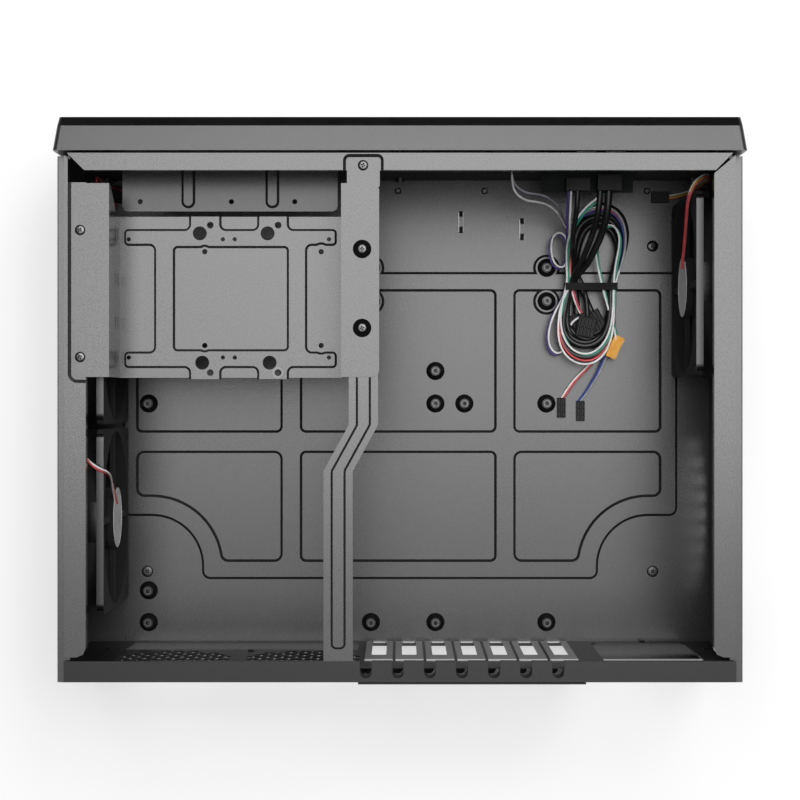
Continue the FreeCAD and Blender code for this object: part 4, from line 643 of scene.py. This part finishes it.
def wire_plug(name, middle, size, ways, turn=0):
    """A housing with its wires at the front end, size in X, Y and Z, turned about Z."""
    bpy.ops.object.select_all(action="DESELECT")
    bpy.ops.mesh.primitive_grid_add(x_subdivisions=ways[0], y_subdivisions=ways[1], size=1)
    plug = bpy.context.object
    plug.name = name
    plug.scale = (size[0], size[1], 1)
    bpy.ops.object.transform_apply(location=False, rotation=False, scale=True)
    bpy.ops.object.mode_set(mode="EDIT")
    bpy.ops.mesh.select_mode(type="FACE")
    bpy.ops.mesh.select_all(action="SELECT")
    bpy.ops.mesh.inset(thickness=WINDOW_RIM, use_individual=True)
    bpy.ops.mesh.extrude_region_move(TRANSFORM_OT_translate={"value": (0, 0, -size[2] * WINDOW_DEPTH)})
    bpy.ops.mesh.select_mode(type="EDGE")
    bpy.ops.mesh.select_all(action="DESELECT")
    bpy.ops.mesh.select_non_manifold(
        use_wire=False, use_multi_face=False, use_non_contiguous=False, use_verts=False)
    bpy.ops.mesh.extrude_region_move(TRANSFORM_OT_translate={"value": (0, 0, -size[2])})
    bpy.ops.mesh.edge_face_add()
    bpy.ops.mesh.select_all(action="SELECT")
    bpy.ops.mesh.normals_make_consistent(inside=False)
    bpy.ops.object.mode_set(mode="OBJECT")
    rounding = plug.modifiers.new("rounding", "BEVEL")
    rounding.limit_method = "ANGLE"
    rounding.width = PLUG_ROUNDING
    rounding.segments = 2
    bpy.ops.object.modifier_apply(modifier="rounding")
    plug.location = (middle[0], middle[1], middle[2] + size[2] / 2)
    plug.rotation_euler = (0, 0, turn)
    bpy.ops.object.transform_apply(location=True, rotation=True, scale=True)
    plug.data.materials.append(plug_black)
    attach(plug, "chassis")
    return plug


power_plug = wire_plug("power_wire_plug", (0.1143, -0.004, 0.0145), (0.0058, 0.014, 0.003), (2, 3))
reset_plug = wire_plug("reset_wire_plug", (0.1278, -0.0063, 0.0145), (0.0058, 0.0142, 0.003), (2, 3))
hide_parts("lead_plugs")
usb_plug = wire_plug("usb_lead_plug", (0.1238, 0.0542, 0.0212), USB_PLUG, (5, 2), 0.12)
second_usb_plug = wire_plug("second_usb_lead_plug", (0.1368, 0.0568, 0.0242), USB_PLUG, (5, 2), 0.5)
audio_plug = wire_plug("audio_lead_plug", (0.1306, 0.0528, 0.0282), (0.0126, 0.0142, 0.0048), (5, 2), -0.2)
disk_plug = wire_plug("disk_wire_plug", (0.1305, 0.0602, 0.0262), (0.0075, 0.0052, 0.003), (2, 2), 0.2)


# A flag of tape round the lamp wires
TAPE_SIZE = (0.008, 0.0165)
TAPE_EDGE = 0.0035
TAPE_FOLD = 0.0012
TAPE_CREASE = 0.0004
TAPE_THICKNESS = 0.0003


def tape_flag():
    bpy.ops.object.select_all(action="DESELECT")
    bpy.ops.mesh.primitive_grid_add(x_subdivisions=6, y_subdivisions=8, size=1)
    tape = bpy.context.object
    tape.name = "wire_tape"
    tape.scale = (*TAPE_SIZE, 1)
    bpy.ops.object.transform_apply(location=False, rotation=False, scale=True)
    for spot in tape.data.vertices:
        spot.select = abs(spot.co.x) > TAPE_EDGE
    bpy.ops.object.mode_set(mode="EDIT")
    bpy.ops.transform.translate(value=(0, 0, -TAPE_FOLD))
    bpy.ops.mesh.select_all(action="SELECT")
    bpy.ops.transform.vertex_random(offset=TAPE_CREASE, seed=4)
    bpy.ops.object.mode_set(mode="OBJECT")
    thick = tape.modifiers.new("thick", "SOLIDIFY")
    thick.thickness = TAPE_THICKNESS
    bpy.ops.object.modifier_apply(modifier="thick")
    smooth = tape.modifiers.new("smooth", "SUBSURF")
    smooth.levels = 2
    smooth.render_levels = 2
    bpy.ops.object.modifier_apply(modifier="smooth")
    bpy.ops.object.shade_smooth()
    tape.location = (0.1512, 0.0385, 0.0288)
    tape.rotation_euler = (0, 0.1, -0.45)
    bpy.ops.object.transform_apply(location=True, rotation=True, scale=True)
    tape.data.materials.append(tape_orange)
    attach(tape, "chassis")
    return tape


wire_tape = tape_flag()


# Blank round labels on the fan hubs, each facing into the case
LABEL_RADIUS = 0.0202
LABEL_THICKNESS = 0.00025
LABEL_RIM = 0.0009
LABEL_SINK = 0.0001


def fan_label(name, place, side):
    bpy.ops.object.select_all(action="DESELECT")
    bpy.ops.mesh.primitive_circle_add(
        vertices=56, radius=LABEL_RADIUS, fill_type="NGON",
        rotation=(0, -side * math.pi / 2, 0), location=place)
    label = bpy.context.object
    label.name = name
    bpy.ops.object.transform_apply(location=True, rotation=True, scale=True)
    bpy.ops.object.mode_set(mode="EDIT")
    bpy.ops.mesh.select_all(action="SELECT")
    bpy.ops.mesh.extrude_region_move(TRANSFORM_OT_translate={"value": (-side * LABEL_THICKNESS, 0, 0)})
    bpy.ops.mesh.inset(thickness=LABEL_RIM)
    bpy.ops.mesh.extrude_region_move(TRANSFORM_OT_translate={"value": (side * LABEL_SINK, 0, 0)})
    bpy.ops.mesh.select_all(action="SELECT")
    bpy.ops.mesh.normals_make_consistent(inside=False)
    bpy.ops.object.mode_set(mode="OBJECT")
    label.data.materials.append(label_silver)
    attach(label, "chassis")


fan_label("rear_fan_label", (-0.191, -0.0778, 0.08), -1)
fan_label("front_fan_label", (-0.191, 0.0456, 0.08), -1)
fan_label("right_fan_label", (0.191, 0.0777, 0.08), 1)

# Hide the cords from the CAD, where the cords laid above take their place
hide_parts("usb_lead", "cable_hank")
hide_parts("audio_lead")
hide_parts("switch_lead")
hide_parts("power_tail")
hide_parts("reset_tail")
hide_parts("fan_lead_1")
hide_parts("fan_lead_2")
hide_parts("fan_lead_3")

# Floor and light
FLOOR_SIZE = 30
FLOOR_COLOUR = (0.6, 0.6, 0.6, 1)
FLOOR_GLOW = 0.55
LAMP_HEIGHT = 2.0
WORLD_STRENGTH = 0.03


def combine(tree, operation, first, second=None, number=None):
    """A math node on one or two linked values, or on a value and a number."""
    node = tree.nodes.new("ShaderNodeMath")
    node.operation = operation
    tree.links.new(first, node.inputs[0])
    if second is not None:
        tree.links.new(second, node.inputs[1])
    if number is not None:
        node.inputs[1].default_value = number
    return node.outputs["Value"]


def floor_finish():
    """A pale floor that takes shadows, with a glow for seen and mirrored rays so that it looks white."""
    finish, tree, shader = new_finish("studio_floor_white")
    shader.inputs["Roughness"].default_value = 0.9
    shader.inputs["Specular IOR Level"].default_value = 0.1
    shader.inputs["Base Color"].default_value = FLOOR_COLOUR
    shader.inputs["Emission Color"].default_value = (1, 1, 1, 1)
    rays = tree.nodes.new("ShaderNodeLightPath").outputs
    seen = combine(tree, "MAXIMUM", rays["Is Camera Ray"], rays["Is Glossy Ray"])
    seen = combine(tree, "MAXIMUM", seen, rays["Is Transmission Ray"])
    glow = combine(tree, "MULTIPLY", seen, number=FLOOR_GLOW)
    tree.links.new(glow, shader.inputs["Emission Strength"])
    return finish


bpy.ops.object.select_all(action="DESELECT")
bpy.ops.mesh.primitive_plane_add(size=FLOOR_SIZE, location=(0, 0, 0))
studio_floor = bpy.context.object
studio_floor.name = "studio_floor"
studio_floor.data.materials.append(floor_finish())


def softbox(name, place, size, power):
    """A soft lamp that shines straight down."""
    bpy.ops.object.light_add(type="AREA", location=(*place, LAMP_HEIGHT))
    lamp = bpy.context.object
    lamp.name = name
    lamp.data.shape = "RECTANGLE"
    lamp.data.size, lamp.data.size_y = size
    lamp.data.energy = power


softbox("overhead_softbox", (0.1, 0.6), (1.6, 1.5), 31.5)
softbox("front_right_softbox", (0.65, 0.7), (0.8, 1.4), 11.5)
softbox("rear_softbox", (0.1, -0.42), (1.6, 0.54), 3.3)
world = bpy.data.worlds.new("studio_world")
scene.world = world
world.use_nodes = True
background = world.node_tree.nodes["Background"]
background.inputs["Color"].default_value = (1, 1, 1, 1)
background.inputs["Strength"].default_value = WORLD_STRENGTH
